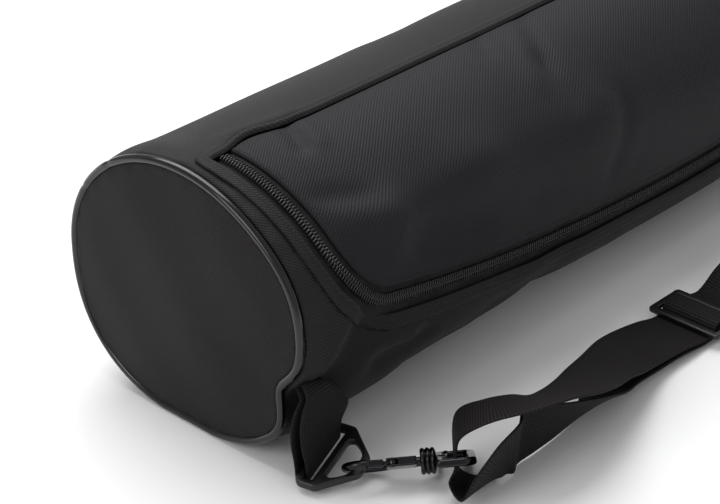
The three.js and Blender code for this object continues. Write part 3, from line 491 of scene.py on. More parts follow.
def foldHeight(folds, x, girth):
    height = np.zeros(np.broadcast(x, girth).shape)
    for fold in folds:
        start, end = np.array(fold["from"], float), np.array(fold["to"], float)
        length = np.linalg.norm(end - start)
        along = (end - start) / length
        dx, dg = x - start[0], girth - start[1]
        run = dx * along[0] + dg * along[1]
        past = np.maximum(-run, 0) + np.maximum(run - length, 0)
        off = dg * along[0] - dx * along[1]
        height = height + fold["rise"] * bell(off / fold["half"]) * bell(past / (1.4 * fold["half"]))
    return height


def ripple(x, girth, size):  # the slight unevenness of filled cloth, the same on each run
    angle = np.radians(girth / mmPerDegree)
    waves = np.sin(x / 31 + 2 * angle) + 0.7 * np.sin(x / 19 - 3 * angle + 1.3)
    return size * (waves + 0.5 * np.sin(x / 67 + 6 * angle + 2.1)) / 2.2


def tubeHeight(x, girth):
    fromSeam = halfLength - seamInset - np.abs(x)
    angle = np.radians(girth / mmPerDegree)
    gathers = 0.35 * np.sin(29 * angle + 0.6 * np.sin(8 * angle)) * bell(fromSeam / 7)
    swell = 1.1 * bell((fromSeam - 13) / 11)
    return foldHeight(tubeFolds, x, girth) + ripple(x, girth, 0.55) + gathers + swell - 1.1 * bell(fromSeam / 5)


panelEdge = edgeLine(reveal["panel"], 3)


def panelHeight(x, girth):
    places = np.stack([np.ravel(x), np.ravel(girth)], axis=-1)
    fromEdge = nearestOn(panelEdge, places)[0].reshape(np.shape(x))
    fromTop = np.maximum(topSeam(x) - girth, 0)
    turn = girth / mmPerDegree
    tucked = 1 - bell(fromEdge / 31)
    seam = np.sin(np.pi / 2 * np.clip(fromTop / 60, 0, 1))
    shoulder = 0.72 + 0.28 * bell((turn - panel["shoulderTurn"]) / 26)
    free = (1 - bell(fromEdge / 9)) * (1 - 0.8 * bell(fromTop / 5))
    edge = -1.1 * bell(fromEdge / 0.8) + 0.35 * bell((fromEdge - 1.6) / 1.1) - 0.45 * bell((fromEdge - 3.4) / 0.8)
    topEdge = -1.4 * bell(fromTop / 1.6)
    creased = foldHeight(panelFolds, x, girth) + ripple(x, girth, 0.7)
    return panel["puff"] * tucked * seam * shoulder + creased * free + edge + topEdge


def windowOutline(inset, step):
    line = edgeLine(inset, step)
    top = np.linspace(line[-1, 0], line[0, 0], int(bag["length"] / step))[1:-1]
    return np.vstack([line, np.stack([top, topSeam(top) + (0.2 if inset < 0 else 0)], axis=-1)])


# Main cloth with its window for the panel, and the turned edge round the window
hem = {"offsets": (0, 0.35, 0.8, 1.4, 2.1, 2.8, 3.5, 4.6, 6, 7.4), "under": 6.7, "stitch": 2.8, "thick": 1.4}


def makeTube():
    ends = halfLength - seamInset
    x = np.linspace(-ends, ends, 196)
    girth = (panel["topTurn"] + 2.25 * np.arange(-118, 43)) * mmPerDegree
    X, G = np.meshgrid(x, girth, indexing="ij")
    places = np.stack([X.ravel(), G.ravel()], axis=-1)
    window = windowOutline(-reveal["bag"], 3)
    along, out = sideways(window, closed=True)
    rim = window + out * hem["under"]
    inside = insideOf(rim, places)
    faces = gridFaces(len(x), len(girth))
    faces = faces[~inside[faces].all(axis=1)]
    used = np.zeros(len(places), bool)
    used[faces.ravel()] = True
    edge = used & inside
    places[edge] = nearestOn(rim, places[edge], closed=True)[1]
    points = onCloth(places[:, 0], places[:, 1], tubeHeight(places[:, 0], places[:, 1]))
    # At both ends the cloth turns in, down behind the piping
    tucks = []
    for side in (-1, 1):
        for outward, depth in ((0.1, -1.2), (0.2, -4.6)):
            row = onCloth(side * ends, girth, tubeHeight(side * ends, girth) + depth)
            row[:, 0] = side * (ends - 0.2 + outward)
            tucks.append(row)
    rows = [points.reshape(len(x), len(girth), 3)[0], tucks[0], tucks[1]]
    left = np.vstack(rows[::-1])
    right = np.vstack([points.reshape(len(x), len(girth), 3)[-1], tucks[2], tucks[3]])
    columns = len(girth)
    endFlat = np.vstack([np.stack([np.full(columns, s * (ends + k)), girth], axis=-1)
                         for s, order in ((-1, (5, 1, 0)), (1, (0, 1, 5))) for k in order])
    turnedIn = gridFaces(3, columns)
    allPoints, allFaces = joinParts((points, faces), (left, turnedIn), (right, turnedIn))
    used = np.zeros(len(allPoints), bool)
    for face in allFaces:
        used[face] = True
    renumber = np.cumsum(used) - 1
    allFaces = [[int(renumber[k]) for k in face] for face in allFaces]
    flat = np.vstack([places, endFlat])[used]
    tube = newPiece("tube_dressed", allPoints[used], allFaces, mainTwill, "oxford", replaces=["tube_cloth"],
                    flat=flat)
    weld(tube)
    thicken(tube, bag["cloth"])

    offsets = np.array(hem["offsets"])
    ring = np.vstack([window, window[:1]])
    ringOut = np.vstack([out, out[:1]])
    rows = ring[None] + ringOut[None] * offsets[:, None, None]
    roll = -1.2 * bell(offsets / 0.7) + 0.3 * bell((offsets - 1.6) / 1.3) - 0.3 * bell((offsets - 2.8) / 0.5)
    roll -= 0.12 * easeStep(offsets, 4, 6.5)
    height = tubeHeight(rows[..., 0], rows[..., 1]) + roll[:, None]
    turnedEdge = newPiece("window_hem", onCloth(rows[..., 0], rows[..., 1], height).reshape(-1, 3),
                          gridFaces(len(offsets), len(ring))[:, ::-1], mainTwill, "oxford", flat=rows.reshape(-1, 2))
    weld(turnedEdge)
    thicken(turnedEdge, hem["thick"])
    return window, out


window, windowOut = makeTube()
print("main cloth")


def makePanel():
    nearEnds = np.concatenate([[0, 0.0007, 0.0014, 0.0022, 0.0031, 0.004, 0.005, 0.0062, 0.008, 0.0105, 0.0135],
                               np.linspace(0.018, 0.5, 88)])
    u = np.concatenate([nearEnds, 1 - nearEnds[-2::-1]])
    nearLow = np.array([0, 0.004, 0.008, 0.0125, 0.017, 0.022, 0.028, 0.035, 0.045, 0.06])
    v = 1 - np.concatenate([nearLow, np.linspace(0.08, 0.94, 60), [0.96, 0.972, 0.982, 0.99, 1]])
    V, U = np.meshgrid(v, u)
    flat = panelPlace(U, V, reveal["panel"])
    flat[..., 1] -= np.where(V == 0, 0.2, 0)
    height = panelHeight(flat[..., 0], flat[..., 1])
    points = onCloth(flat[..., 0], flat[..., 1], height).reshape(-1, 3)
    piece = newPiece("panel_dressed", points, gridFaces(len(u), len(v)), panelTwill, "oxford",
                     replaces=["panel_cloth"], flat=flat.reshape(-1, 2))
    thicken(piece, bag["cloth"])


makePanel()
print("panel")

# The zip: two woven tapes, two rows of nylon coil, and the slider at its right end
zipParts = {"tapeThick": 0.8, "tapeReach": 14, "halfGap": 0.15, "tapeTop": -2.3, "coilBase": -2.0, "pitch": 1.9,
            "start": 0.012}


def zipTapes(name, low, high, node):
    line = edgeLine(0, 4, zipParts["start"])
    along, out = sideways(line)
    offsets = np.linspace(low, high, 7)
    P = line[:, None] + out[:, None] * offsets[None, :, None]
    points = onCloth(P[..., 0], P[..., 1], zipParts["tapeTop"]).reshape(-1, 3)
    run = np.arange(len(line)) * 4.0
    flat = np.stack(np.broadcast_arrays(offsets[None, :], run[:, None]), axis=-1).reshape(-1, 2)
    tape = newPiece(name, points, gridFaces(len(line), len(offsets))[:, ::-1], zipTape, "tape", replaces=[node],
                    flat=flat)
    thicken(tape, zipParts["tapeThick"])


zipTapes("zip_tape_outer", zipParts["halfGap"], zipParts["tapeReach"], "zip_tape_bag")
zipTapes("zip_tape_inner", -zipParts["tapeReach"], -zipParts["halfGap"], "zip_tape_panel")


def tubeAlong(line, radius, sides=12, closed=False, caps=True):
    line = np.asarray(line, float)
    radius = np.broadcast_to(np.asarray(radius, float), len(line))
    if closed:
        along = np.roll(line, -1, axis=0) - np.roll(line, 1, axis=0)
    else:
        along = np.gradient(line, axis=0)
    along /= np.linalg.norm(along, axis=1, keepdims=True)
    side = np.cross(along[0], (0.31, 0.2, 0.93))
    side /= np.linalg.norm(side)
    points = []
    around = np.arange(sides) * 2 * np.pi / sides
    for place, way, size in zip(line, along, radius):
        side = side - way * side.dot(way)
        side /= np.linalg.norm(side)
        up = np.cross(way, side)
        points.append(place + size * (np.cos(around)[:, None] * side + np.sin(around)[:, None] * up))
    count = len(line)
    faces = []
    for i in range(count if closed else count - 1):
        for j in range(sides):
            a, b = i * sides + j, i * sides + (j + 1) % sides
            c, d = ((i + 1) % count) * sides + j, ((i + 1) % count) * sides + (j + 1) % sides
            faces.append([a, b, d, c])
    if caps and not closed:
        faces += [list(range(sides))[::-1], list(range((count - 1) * sides, count * sides))]
    return np.vstack(points), faces


def rowOnCloth(line, pitch, shape, heightAt, first=0.5):
    # Repeats a small shape along a line on the flat cloth. The shape's places are along, outwards and up, in mm.
    shapePoints, shapeFaces = shape
    even = evenly(line, pitch)
    along, out = sideways(even)
    centres = even[:-1] + first * (even[1:] - even[:-1]) if first else even
    along, out = along[:len(centres)], out[:len(centres)]
    P = centres[:, None] + along[:, None] * shapePoints[None, :, :1] + out[:, None] * shapePoints[None, :, 1:2]
    base = heightAt(centres[:, 0], centres[:, 1])
    points = onCloth(P[..., 0], P[..., 1], base[:, None] + shapePoints[None, :, 2]).reshape(-1, 3)
    faces = (np.arange(len(centres))[:, None, None] * len(shapePoints) + np.array(shapeFaces)[None]).reshape(-1, 4)
    return points, faces.tolist()


def zipCoil():
    line = edgeLine(0, 1, zipParts["start"])
    base = zipParts["coilBase"]
    parts = []
    # One tooth of a coil row: a loop of wire from the tape over to the zip's middle
    tooth = np.array([(0.42, 3.1, 0.2), (0.36, 3.3, 0.95), (0.24, 2.9, 1.6), (0.1, 1.9, 1.86), (-0.08, 0.7, 1.9),
                      (-0.2, -0.25, 1.6), (-0.22, -0.6, 0.95)])
    for side, first in ((1, 0.25), (-1, 0.75)):
        loop = tooth * (1, side, 1)
        shape = tubeAlong(loop, (0.4, 0.46, 0.48, 0.48, 0.48, 0.46, 0.34), sides=6, caps=False)
        parts.append(rowOnCloth(line, zipParts["pitch"], shape, lambda x, g: np.full(np.shape(x), base), first))
    points, faces = joinParts(*parts)
    newPiece("zip_teeth", points, faces, coilNylon, "coil", replaces=["zip_coil"])


zipCoil()


def signedArea(ring):
    nextOne = np.roll(ring, -1, axis=0)
    return 0.5 * float((ring[:, 0] * nextOne[:, 1] - nextOne[:, 0] * ring[:, 1]).sum())


def plate(outline, holes=(), thick=3.0, rounding=0.6, lift=0.0):
    # A flat plate with rounded edges that stay inside its outline
    rings = []
    for k, ring in enumerate([outline, *holes]):
        ring = np.asarray(ring, float)
        wantPositive = k == 0
        rings.append(ring if (signedArea(ring) > 0) == wantPositive else ring[::-1])
    steps = np.linspace(0, np.pi / 2, 5)
    profile = [(rounding * (1 - math.sin(a)), thick / 2 - rounding * (1 - math.cos(a))) for a in steps]
    profile += [(inset, -z) for inset, z in reversed(profile)]
    points, faces, caps = [], [], []
    for ring in rings:
        before, after = ring - np.roll(ring, 1, axis=0), np.roll(ring, -1, axis=0) - ring
        before = before / np.linalg.norm(before, axis=1, keepdims=True)
        after = after / np.linalg.norm(after, axis=1, keepdims=True)
        normals = [np.stack([-way[:, 1], way[:, 0]], axis=-1) for way in (before, after)]
        mitre = (normals[0] + normals[1]) / (1 + (normals[0] * normals[1]).sum(1, keepdims=True))
        first, count = len(points), len(ring)
        for inset, z in profile:
            points += [(px, py, z + lift) for px, py in ring + mitre * inset]
        for i in range(len(profile) - 1):
            for j in range(count):
                a, b = first + i * count + j, first + i * count + (j + 1) % count
                faces.append([a, a + count, b + count, b])
        caps.append((first, first + (len(profile) - 1) * count, count))
    for which in (0, 1):
        index = [cap[which] + j for cap in caps for j in range(cap[2])]
        loops = [[Vector(points[cap[which] + j]) for j in range(cap[2])] for cap in caps]
        for a, b, c in tessellate_polygon(loops):
            face = [index[a], index[b], index[c]]
            p = [np.array(points[k]) for k in face]
            up = np.cross(p[1] - p[0], p[2] - p[0])[2] > 0
            faces.append(face if up == (which == 0) else face[::-1])
    return np.array(points), faces


def placed(part, matrix):
    points = np.asarray(part[0], float)
    spot = np.array(matrix, float)
    moved = points @ spot[:3, :3].T + spot[:3, 3]
    faces = part[1]
    if np.linalg.det(spot[:3, :3]) < 0:
        faces = [list(face)[::-1] for face in faces]
    return moved, faces


def turned(profile, sides=40):  # (radius, x) pairs turned about X
    around = np.arange(sides) * 2 * np.pi / sides
    points = [(x, r * math.cos(a), r * math.sin(a)) for r, x in profile for a in around]
    faces = []
    for i in range(len(profile) - 1):
        for j in range(sides):
            a, b = i * sides + j, i * sides + (j + 1) % sides
            faces.append([a, a + sides, b + sides, b])
    faces += [list(range(sides)), list(range((len(profile) - 1) * sides, len(profile) * sides))[::-1]]
    return np.array(points), faces


def smoothCorners(ring, radius, steps=5):
    made = []
    count = len(ring)
    for k in range(count):
        p0, p1, p2 = (np.array(ring[(k + d) % count], float) for d in (-1, 0, 1))
        a = p1 + (p0 - p1) / np.linalg.norm(p0 - p1) * min(radius, 0.45 * np.linalg.norm(p0 - p1))
        b = p1 + (p2 - p1) / np.linalg.norm(p2 - p1) * min(radius, 0.45 * np.linalg.norm(p2 - p1))
        for t in np.linspace(0, 1, steps):
            made.append((1 - t) ** 2 * a + 2 * t * (1 - t) * p1 + t ** 2 * b)
    return np.array(made)


def rectangle(x0, x1, y0, y1, radius=0.4):
    return smoothCorners([(x0, y0), (x1, y0), (x1, y1), (x0, y1)], radius)


slider = {"length": 13, "width": 10.5, "height": 5, "pullLength": 30, "pullWidth": 7, "pullThick": 1.8}


def zipSlider():
    at = panelPlace(0.86, 1)
    seat = onCloth(at[0], at[1], zipParts["coilBase"] + 2 + gap + slider["height"] / 2)
    turn = math.radians(90 - at[1] / mmPerDegree)
    spot = Matrix.Translation(seat.tolist()) @ Matrix.Rotation(turn, 4, "X")
    half, wide = slider["length"] / 2, slider["width"] / 2
    shield = smoothCorners([(-half, -2.6), (-1, -wide), (half, -wide + 0.6), (half, wide - 0.6), (-1, wide),
                            (-half, 2.6)], 2.2)
    body = plate(shield, (), 1.4, 0.5, 0.6)
    under = plate(shield * 0.96, (), 1.0, 0.3, -1.9)
    wedge = plate(rectangle(0.5, half - 0.6, -1.4, 1.4, 1), (), 2.4, 0.2, -0.8)
    arch = tubeAlong([(-4, 0, 1), (-3.4, 0, 2.6), (-1.6, 0, 3.5), (1.2, 0, 3.5), (3, 0, 2.6), (3.6, 0, 1)], 0.8, 10)
    pullHalf = slider["pullWidth"] / 2
    holes = [rectangle(-27.5, -22, -2, 2, 1.6), rectangle(-4.4, -1.8, -2, 2, 1)]
    pull = plate(rectangle(-slider["pullLength"], -0.6, -pullHalf, pullHalf, 2.2), holes, slider["pullThick"], 0.5,
                 1.9)
    points, faces = joinParts(*[placed(part, spot) for part in (body, under, wedge, arch, pull)])
    newPiece("zip_slider_dressed", points, faces, blackNickel, "metal", replaces=["zip_slider"], sharp=38)


zipSlider()
print("zip")

# Top stitching: short threads in a row, 3 mm long with a small dip between them
stitch = {"pitch": 3.4, "thick": 0.26}


def stitchShape():
    t = np.linspace(-1, 1, 6)
    line = np.stack([1.55 * t, 0.12 * t, 0.34 * (1 - t ** 4) - 0.22], axis=-1)
    return tubeAlong(line, stitch["thick"] * np.sqrt(np.maximum(1 - 0.75 * t ** 4, 0.1)), sides=5, caps=False)


def stitchRows():
    shape = stitchShape()
    hemLine = window + windowOut * hem["stitch"]
    hemLine = np.vstack([hemLine, hemLine[:1]])
    rows = [rowOnCloth(hemLine, stitch["pitch"], shape, lambda x, g: tubeHeight(x, g) - 0.1)]
    rows.append(rowOnCloth(edgeLine(reveal["panel"] + 3.4, 1), stitch["pitch"], shape, panelHeight))
    points, faces = joinParts(*rows)
    newPiece("zip_stitching", points, faces, thread, "webbing")


stitchRows()

# Round ends and their piping
cap = {"bulge": 4, "piping": 5, "pipingStations": 220}


def endRadius(turn):
    return clothRadius(-halfLength, turn)


def makeEnd(side, name, node):
    turns = np.linspace(0, 360, 145)
    shares = np.concatenate([np.linspace(0, 0.9, 22), [0.93, 0.955, 0.975, 0.99, 1, 1.012, 1.03]])
    S, T = np.meshgrid(shares, turns, indexing="ij")
    slope = (endRadius(T + 1) - endRadius(T - 1)) / (2 * mmPerDegree)
    reach = endRadius(T) - (cap["piping"] + 0.7) * np.hypot(1, slope)
    angle = np.radians(T)
    out = cap["bulge"] * (1 - np.minimum(S, 1) ** 2.5)
    y, z = -reach * S * np.cos(angle), axisHeight + reach * S * np.sin(angle)
    soft = 0.8 * np.sin(y / 21 + z / 33 + 0.4) + 0.5 * np.sin(y / 12 - z / 17)
    gathers = 0.25 * np.sin(30 * angle) * bell((S - 1) / 0.05)
    out = out + (soft * (1 - S ** 6) + gathers) * (S <= 1) - 60 * np.maximum(S - 1, 0)
    x = side * (halfLength + out)
    flat = np.stack([y, z], axis=-1).reshape(-1, 2)
    faces = gridFaces(len(shares), len(turns))
    piece = newPiece(name, np.stack([x, y, z], axis=-1).reshape(-1, 3), faces if side > 0 else faces[:, ::-1],
                     endTwill, "end_cloth", replaces=[node], flat=flat)
    weld(piece)
    thicken(piece, bag["cloth"])


def makePiping(side, name, node):
    count = cap["pipingStations"]
    turn = np.arange(count) * 360 / count
    angle = np.radians(turn)
    radius = endRadius(turn) - cap["piping"] / 2
    line = np.stack([np.full(count, side * halfLength), -radius * np.cos(angle),
                     axisHeight + radius * np.sin(angle)], axis=-1)
    # Two nicks where the piping's ends overlap in the seam
    nicks = bell(((turn - 131 + 180) % 360 - 180) / 1.1) + bell(((turn - 152 + 180) % 360 - 180) / 1.1)
    points, faces = tubeAlong(line, cap["piping"] / 2 * (1 - 0.16 * nicks) - 0.02, sides=16, closed=True)
    newPiece(name, points, faces, pipingVinyl, "vinyl", replaces=[node])


makeEnd(-1, "end_left_dressed", "end_cloth_left")
makeEnd(1, "end_right_dressed", "end_cloth_right")
makePiping(-1, "piping_left_dressed", "piping_left")
makePiping(1, "piping_right_dressed", "piping_right")
print("ends and piping")

# Webbing: flat ribbons through stations, each with a middle and the direction of its width
webbing = {"width": 38, "thick": 1.5}
slotHalf = webbing["width"] / 2 + 1.5


def curveThrough(points, t):  # a centripetal Catmull-Rom curve, with t from 0 to 1 over all its points
    points = np.asarray(points, float)
    count = len(points)
    place = np.clip(t, 0, 1) * (count - 1)
    k = min(int(place), count - 2)
    w = place - k
    p1, p2 = points[k], points[k + 1]
    p0 = points[k - 1] if k > 0 else 2 * p1 - p2
    p3 = points[k + 2] if k + 2 < count else 2 * p2 - p1
    d0, d1, d2 = (max(np.linalg.norm(b - a) ** 0.5, 1e-4) for a, b in ((p0, p1), (p1, p2), (p2, p3)))
    m1 = ((p1 - p0) / d0 - (p2 - p0) / (d0 + d1) + (p2 - p1) / d1) * d1
    m2 = ((p2 - p1) / d1 - (p3 - p1) / (d1 + d2) + (p3 - p2) / d2) * d1
    return p1 + w * m1 + w * w * (3 * (p2 - p1) - 2 * m1 - m2) + w ** 3 * (2 * (p1 - p2) + m1 + m2)


def ribbon(stations, steps):
    middles = np.array([s["middle"] for s in stations])
    acrosses = np.array([s["across"] for s in stations])
    spreads = np.array([s.get("spread", 1) for s in stations])
    reach = acrosses * (webbing["width"] * spreads / 2)[:, None]
    low, high = middles - reach, middles + reach
    count = (len(stations) - 1) * steps
    half = webbing["thick"] / 2
    # The section is flat with rounded selvedges
    top = [(a, half) for a in np.linspace(-0.475, 0.475, 12)]
    section = top + [(0.494, 0.7 * half), (0.5, 0), (0.494, -0.7 * half)]
    section += [(a, -h) for a, h in reversed(top)] + [(-0.494, -0.7 * half), (-0.5, 0), (-0.494, 0.7 * half)]
    section = np.array(section)
    points, flat, run, last = [], [], 0.0, None
    for i in range(count + 1):
        a, b = curveThrough(low, i / count), curveThrough(high, i / count)
        before = curveThrough(low, (i - 0.25) / count) + curveThrough(high, (i - 0.25) / count)
        after = curveThrough(low, (i + 0.25) / count) + curveThrough(high, (i + 0.25) / count)
        across = (b - a) / np.linalg.norm(b - a)
        up = np.cross(after - before, across)
        up /= np.linalg.norm(up)
        middle = (a + b) / 2
        run += 0 if last is None else np.linalg.norm(middle - last)
        last = middle
        points.append(middle + (b - a) * section[:, :1] + up * section[:, 1:])
        flat.append(np.stack([section[:, 0] * webbing["width"], np.full(len(section), run)], axis=-1))
    sides = len(section)
    faces = []
    for i in range(count):
        for j in range(sides):
            a, b = i * sides + j, i * sides + (j + 1) % sides
            faces.append([a, b, b + sides, a + sides])
    faces += [list(range(sides))[::-1], list(range(count * sides, (count + 1) * sides))]
    return np.vstack(points), faces, np.vstack(flat), run


def frameOf(origin, first, second):
    x = Vector(first).normalized()
    z = x.cross(Vector(second)).normalized()
    y = z.cross(x)
    made = Matrix((x, y, z)).transposed().to_4x4()
    made.translation = Vector(origin)
    return made


def inFrame(matrix, x, y, z):
    return np.array(matrix @ Vector((x, y, z)))


ring = {"halfWidth": 25, "length": 31, "thick": 4.4, "bar": 4.8, "rim": 5.2, "slot": 4.6, "side": 13}
tab = {"turn": -17, "fromPiping": 1.5, "span": 11, "lift": 1.2}
tabRoot = onCloth(-halfLength + 2.5, -20 * mmPerDegree, gap)
ringOrigin = np.array([tabRoot[0] + 14.6, tabRoot[1] - 13.1, 9.6])
ringFrame = frameOf(ringOrigin, (0.946, 0.271, 0.165), (0.291, -0.952, -0.03))
loopFrame = frameOf(ringOrigin + (-2.8, -13.8, -0.1), (0.702, -0.709, 0.085), (0.646, 0.58, -0.497))
hookRoll = math.radians(-12)
hookFrame = loopFrame @ Matrix.Rotation(hookRoll, 4, "X")
mirror = Matrix.Diagonal((-1, 1, 1, 1))


def wrapPower(value):  # webbing turns round a bar in a shape between a circle and a box
    return math.copysign(abs(value) ** 0.52, value)


def tabStations():
    along = np.array(ringFrame.col[0][:3])
    up = -np.array(ringFrame.col[2][:3])
    clear = webbing["thick"] / 2 + gap
    near = onCloth(tabRoot[0] + tab["fromPiping"], tab["turn"] * mmPerDegree, clear)
    far = onCloth(near[0] + tab["span"], tab["turn"] * mmPerDegree, clear + tab["lift"])
    seamAcross = (far - near) / np.linalg.norm(far - near)
    seamMiddle = (near + far) / 2
    gathered = np.linalg.norm(far - near) / webbing["width"]
    outward = np.array((0, -1, -0.25)) / math.hypot(1, 0.25)
    barMiddle = -(ring["bar"] + ring["slot"]) / 2
    wide, deep = ring["bar"] / 2 + clear, ring["thick"] / 2 + clear
    wrap = []
    for k in range(9):
        angle = k * math.pi / 8
        y = barMiddle - wide * wrapPower(math.cos(angle))
        wrap.append({"middle": inFrame(ringFrame, 0, y, deep * abs(wrapPower(math.sin(angle)))), "across": along})

    def layer(side):  # -1 is the layer behind, 1 the one in front
        start = seamMiddle + np.array((0, -1.8, 1.9)) * (side + 1) * clear
        end = inFrame(ringFrame, 0, barMiddle + side * wide, 0)
        reach = np.linalg.norm(end - start)
        a, b, c, d = start, start + 0.32 * reach * outward, end + 0.42 * reach * up, end
        stations = []
        for k in range(6):
            t = k / 6
            middle = (1 - t) ** 3 * a + 3 * t * (1 - t) ** 2 * b + 3 * t * t * (1 - t) * c + t ** 3 * d
            tangent = (1 - t) ** 2 * (b - a) + 2 * t * (1 - t) * (c - b) + t * t * (d - c)
            tangent /= np.linalg.norm(tangent)
            across = seamAcross + (along - seamAcross) * float(easeStep(t, 0, 1))
            across = across - tangent * across.dot(tangent)
            across /= np.linalg.norm(across)
            stations.append({"middle": middle, "across": across,
                             "spread": gathered + (1 - gathered) * float(easeStep(t, 0, 0.7))})
        return stations

    return [*layer(-1), *wrap, *layer(1)[::-1]]


tabPoints, tabFaces, tabFlat, tabLength = ribbon(tabStations(), 5)
tabNames = ((1, "tab_left_dressed", "tab_webbing_left"), (-1, "tab_right_dressed", "tab_webbing_right"))
for side, name, node in tabNames:
    shape = (tabPoints, tabFaces) if side > 0 else placed((tabPoints, tabFaces), mirror)
    tabPiece = newPiece(name, *shape, webbingWeave, "webbing", replaces=[node], flat=tabFlat)
print("tabs")


def ringPlate():
    low = -ring["bar"] - ring["slot"] / 2
    high = low + ring["length"]
    wide, shoulder = ring["halfWidth"], low + ring["side"]
    outline = [(3 - wide, low), (wide - 3, low), (wide, low + 3), (wide, shoulder), (8, high - 1.5), (5.5, high),
               (-5.5, high), (-8, high - 1.5), (-wide, shoulder), (-wide, low + 3)]
    half = ring["slot"] / 2
    slot = rectangle(-slotHalf, slotHalf, -half, half, 1)
    eyeHalf, near, far = wide - 9.5, half + 4.6, high - ring["rim"]
    curves = [((-eyeHalf + 4, near), (-eyeHalf, near), (-eyeHalf + 0.5, near + 3.5)),
              ((-eyeHalf + 0.5, near + 3.5), (-10, far), (-3.5, far)),
              ((3.5, far), (10, far), (eyeHalf - 0.5, near + 3.5)),
              ((eyeHalf - 0.5, near + 3.5), (eyeHalf, near), (eyeHalf - 4, near))]
    eye = [(1 - t) ** 2 * np.array(a) + 2 * t * (1 - t) * np.array(b) + t * t * np.array(c)
           for a, b, c in curves for t in np.linspace(0, 0.93, 9)]
    return plate(smoothCorners(outline, 1.6), [slot, np.array(eye)], ring["thick"], 1.1)


ringPart = ringPlate()
for matrix, node in ((ringFrame, "ring_left"), (mirror @ ringFrame, "ring_right")):
    newPiece(node + "_dressed", *placed(ringPart, matrix), acetal, "acetal", replaces=[node], sharp=38)

# Snap hook in its own frame: X from its tip to its loop, Y across it, Z out of its flat side
hook = {"halfWidth": 11.4, "rod": 2.4, "nose": 13.4, "neck": 2.6}
housing = {"from": 24, "to": 40, "half": 5.6}
gate = {"width": 3.4, "thick": 4, "knuckle": 2.5, "knuckleThick": 2, "pin": 1.2, "at": 27.5, "side": 6.6}
barrel = {"from": 42, "length": 8, "radius": 7.2, "groove": 0.8, "ridges": 3}
loop = {"opening": 12.5, "bar": 4.4, "thick": 4.4, "corner": 4.4}
barrelEnd = barrel["from"] + barrel["length"]
neckEnd = barrelEnd + loop["bar"] + gap
openingMiddle = barrelEnd + loop["bar"] + loop["opening"] / 2


def hookBody():
    mid = hook["halfWidth"] - hook["rod"]
    line = [(housing["from"] + 4, housing["half"] / 2, 0), (housing["from"] - 2, mid - 1, 0)]
    for a in np.linspace(np.pi / 2, 1.5 * np.pi, 9):
        line.append((hook["halfWidth"] + mid * math.cos(a), mid * math.sin(a), 0))
    line.append((hook["nose"], -mid, 0))
    smooth = np.array([curveThrough(line, t) for t in np.linspace(0, 1, 56)])
    rod = tubeAlong(smooth, hook["rod"], 18)
    low = -gate["side"] - gate["knuckle"]
    x0, x1, high = housing["from"], housing["to"], housing["half"]
    cheek = 2 * hook["rod"] / 2 - gate["knuckleThick"] / 2 - gap
    middle = (2 * hook["rod"] - cheek) / 2
    sides = [plate(rectangle(x0, x1, low, high, 1.4), (), cheek, 0.45, s * middle) for s in (-1, 1)]
    slotX, slotY = gate["at"] + gate["knuckle"] + 2 * gap, -gate["side"] + gate["knuckle"] + 2 * gap
    core = plate([(slotX, low + 0.4), (x1 - 0.4, low + 0.4), (x1 - 0.4, high - 0.4), (x0 + 0.4, high - 0.4),
                  (x0 + 0.4, slotY), (slotX, slotY)], (), 2 * (gate["knuckleThick"] / 2 + gap) + 0.2, 0.05)
    pin = placed(turned([(gate["pin"], -2.6), (gate["pin"], 2.6)], 20),
                 Matrix.Translation((gate["at"], -gate["side"], 0)) @ Matrix.Rotation(math.pi / 2, 4, "Y"))
    neck = turned([(hook["neck"], x1 - 1), (hook["neck"], neckEnd), (4.4, neckEnd), (4.6, neckEnd + 0.4),
                   (4.6, neckEnd + 1.7), (4.1, neckEnd + 2.2)])
    return joinParts(rod, *sides, core, pin, neck)


def gatePart():
    mid = hook["halfWidth"] - hook["rod"]
    tipX, heelX, heelY = hook["nose"] + 2 * gap, housing["from"] - 1.4, -gate["side"] - 0.8
    half = gate["width"] / 2
    sides = [(tipX, -mid - half), (heelX, heelY - half), (heelX, heelY + half), (tipX, -mid + half)]
    bar = smoothCorners(sides, 0.9)
    arm = rectangle(heelX - 1, gate["at"], -gate["side"] - 1.4, -gate["side"] + 1.4, 0.3)
    knuckle = placed(turned([(2.3, -1), (gate["knuckle"], -0.8), (gate["knuckle"], 0.8), (2.3, 1)], 24),
                     Matrix.Translation((gate["at"], -gate["side"], 0)) @ Matrix.Rotation(math.pi / 2, 4, "Y"))
    return joinParts(plate(bar, (), gate["thick"], 0.9), plate(arm, (), gate["knuckleThick"], 0.2), knuckle)


def loopPart():
    pitch = barrel["length"] / barrel["ridges"]
    profile = [(3.2, barrel["from"])]
    for k in range(barrel["ridges"]):
        start = barrel["from"] + k * pitch
        for share, rise in ((0.02, 0), (0.2, 0.6), (0.35, 0.93), (0.5, 1), (0.65, 0.93), (0.8, 0.6), (0.98, 0)):
            profile.append((barrel["radius"] - barrel["groove"] * (1 - rise), start + share * pitch))
    profile.append((5, barrelEnd + 0.5))
    outer, far = slotHalf + loop["bar"], barrelEnd + 2 * loop["bar"] + loop["opening"]
    outline = [(barrelEnd, -outer), (far - loop["corner"], -outer), (far, loop["corner"] - outer),
               (far, outer - loop["corner"]), (far - loop["corner"], outer), (barrelEnd, outer)]
    hole = rectangle(barrelEnd + loop["bar"], far - loop["bar"], -slotHalf, slotHalf, 1.6)
    return joinParts(turned(profile, 48), plate(smoothCorners(outline, 2.4), [hole], loop["thick"], 1.5))


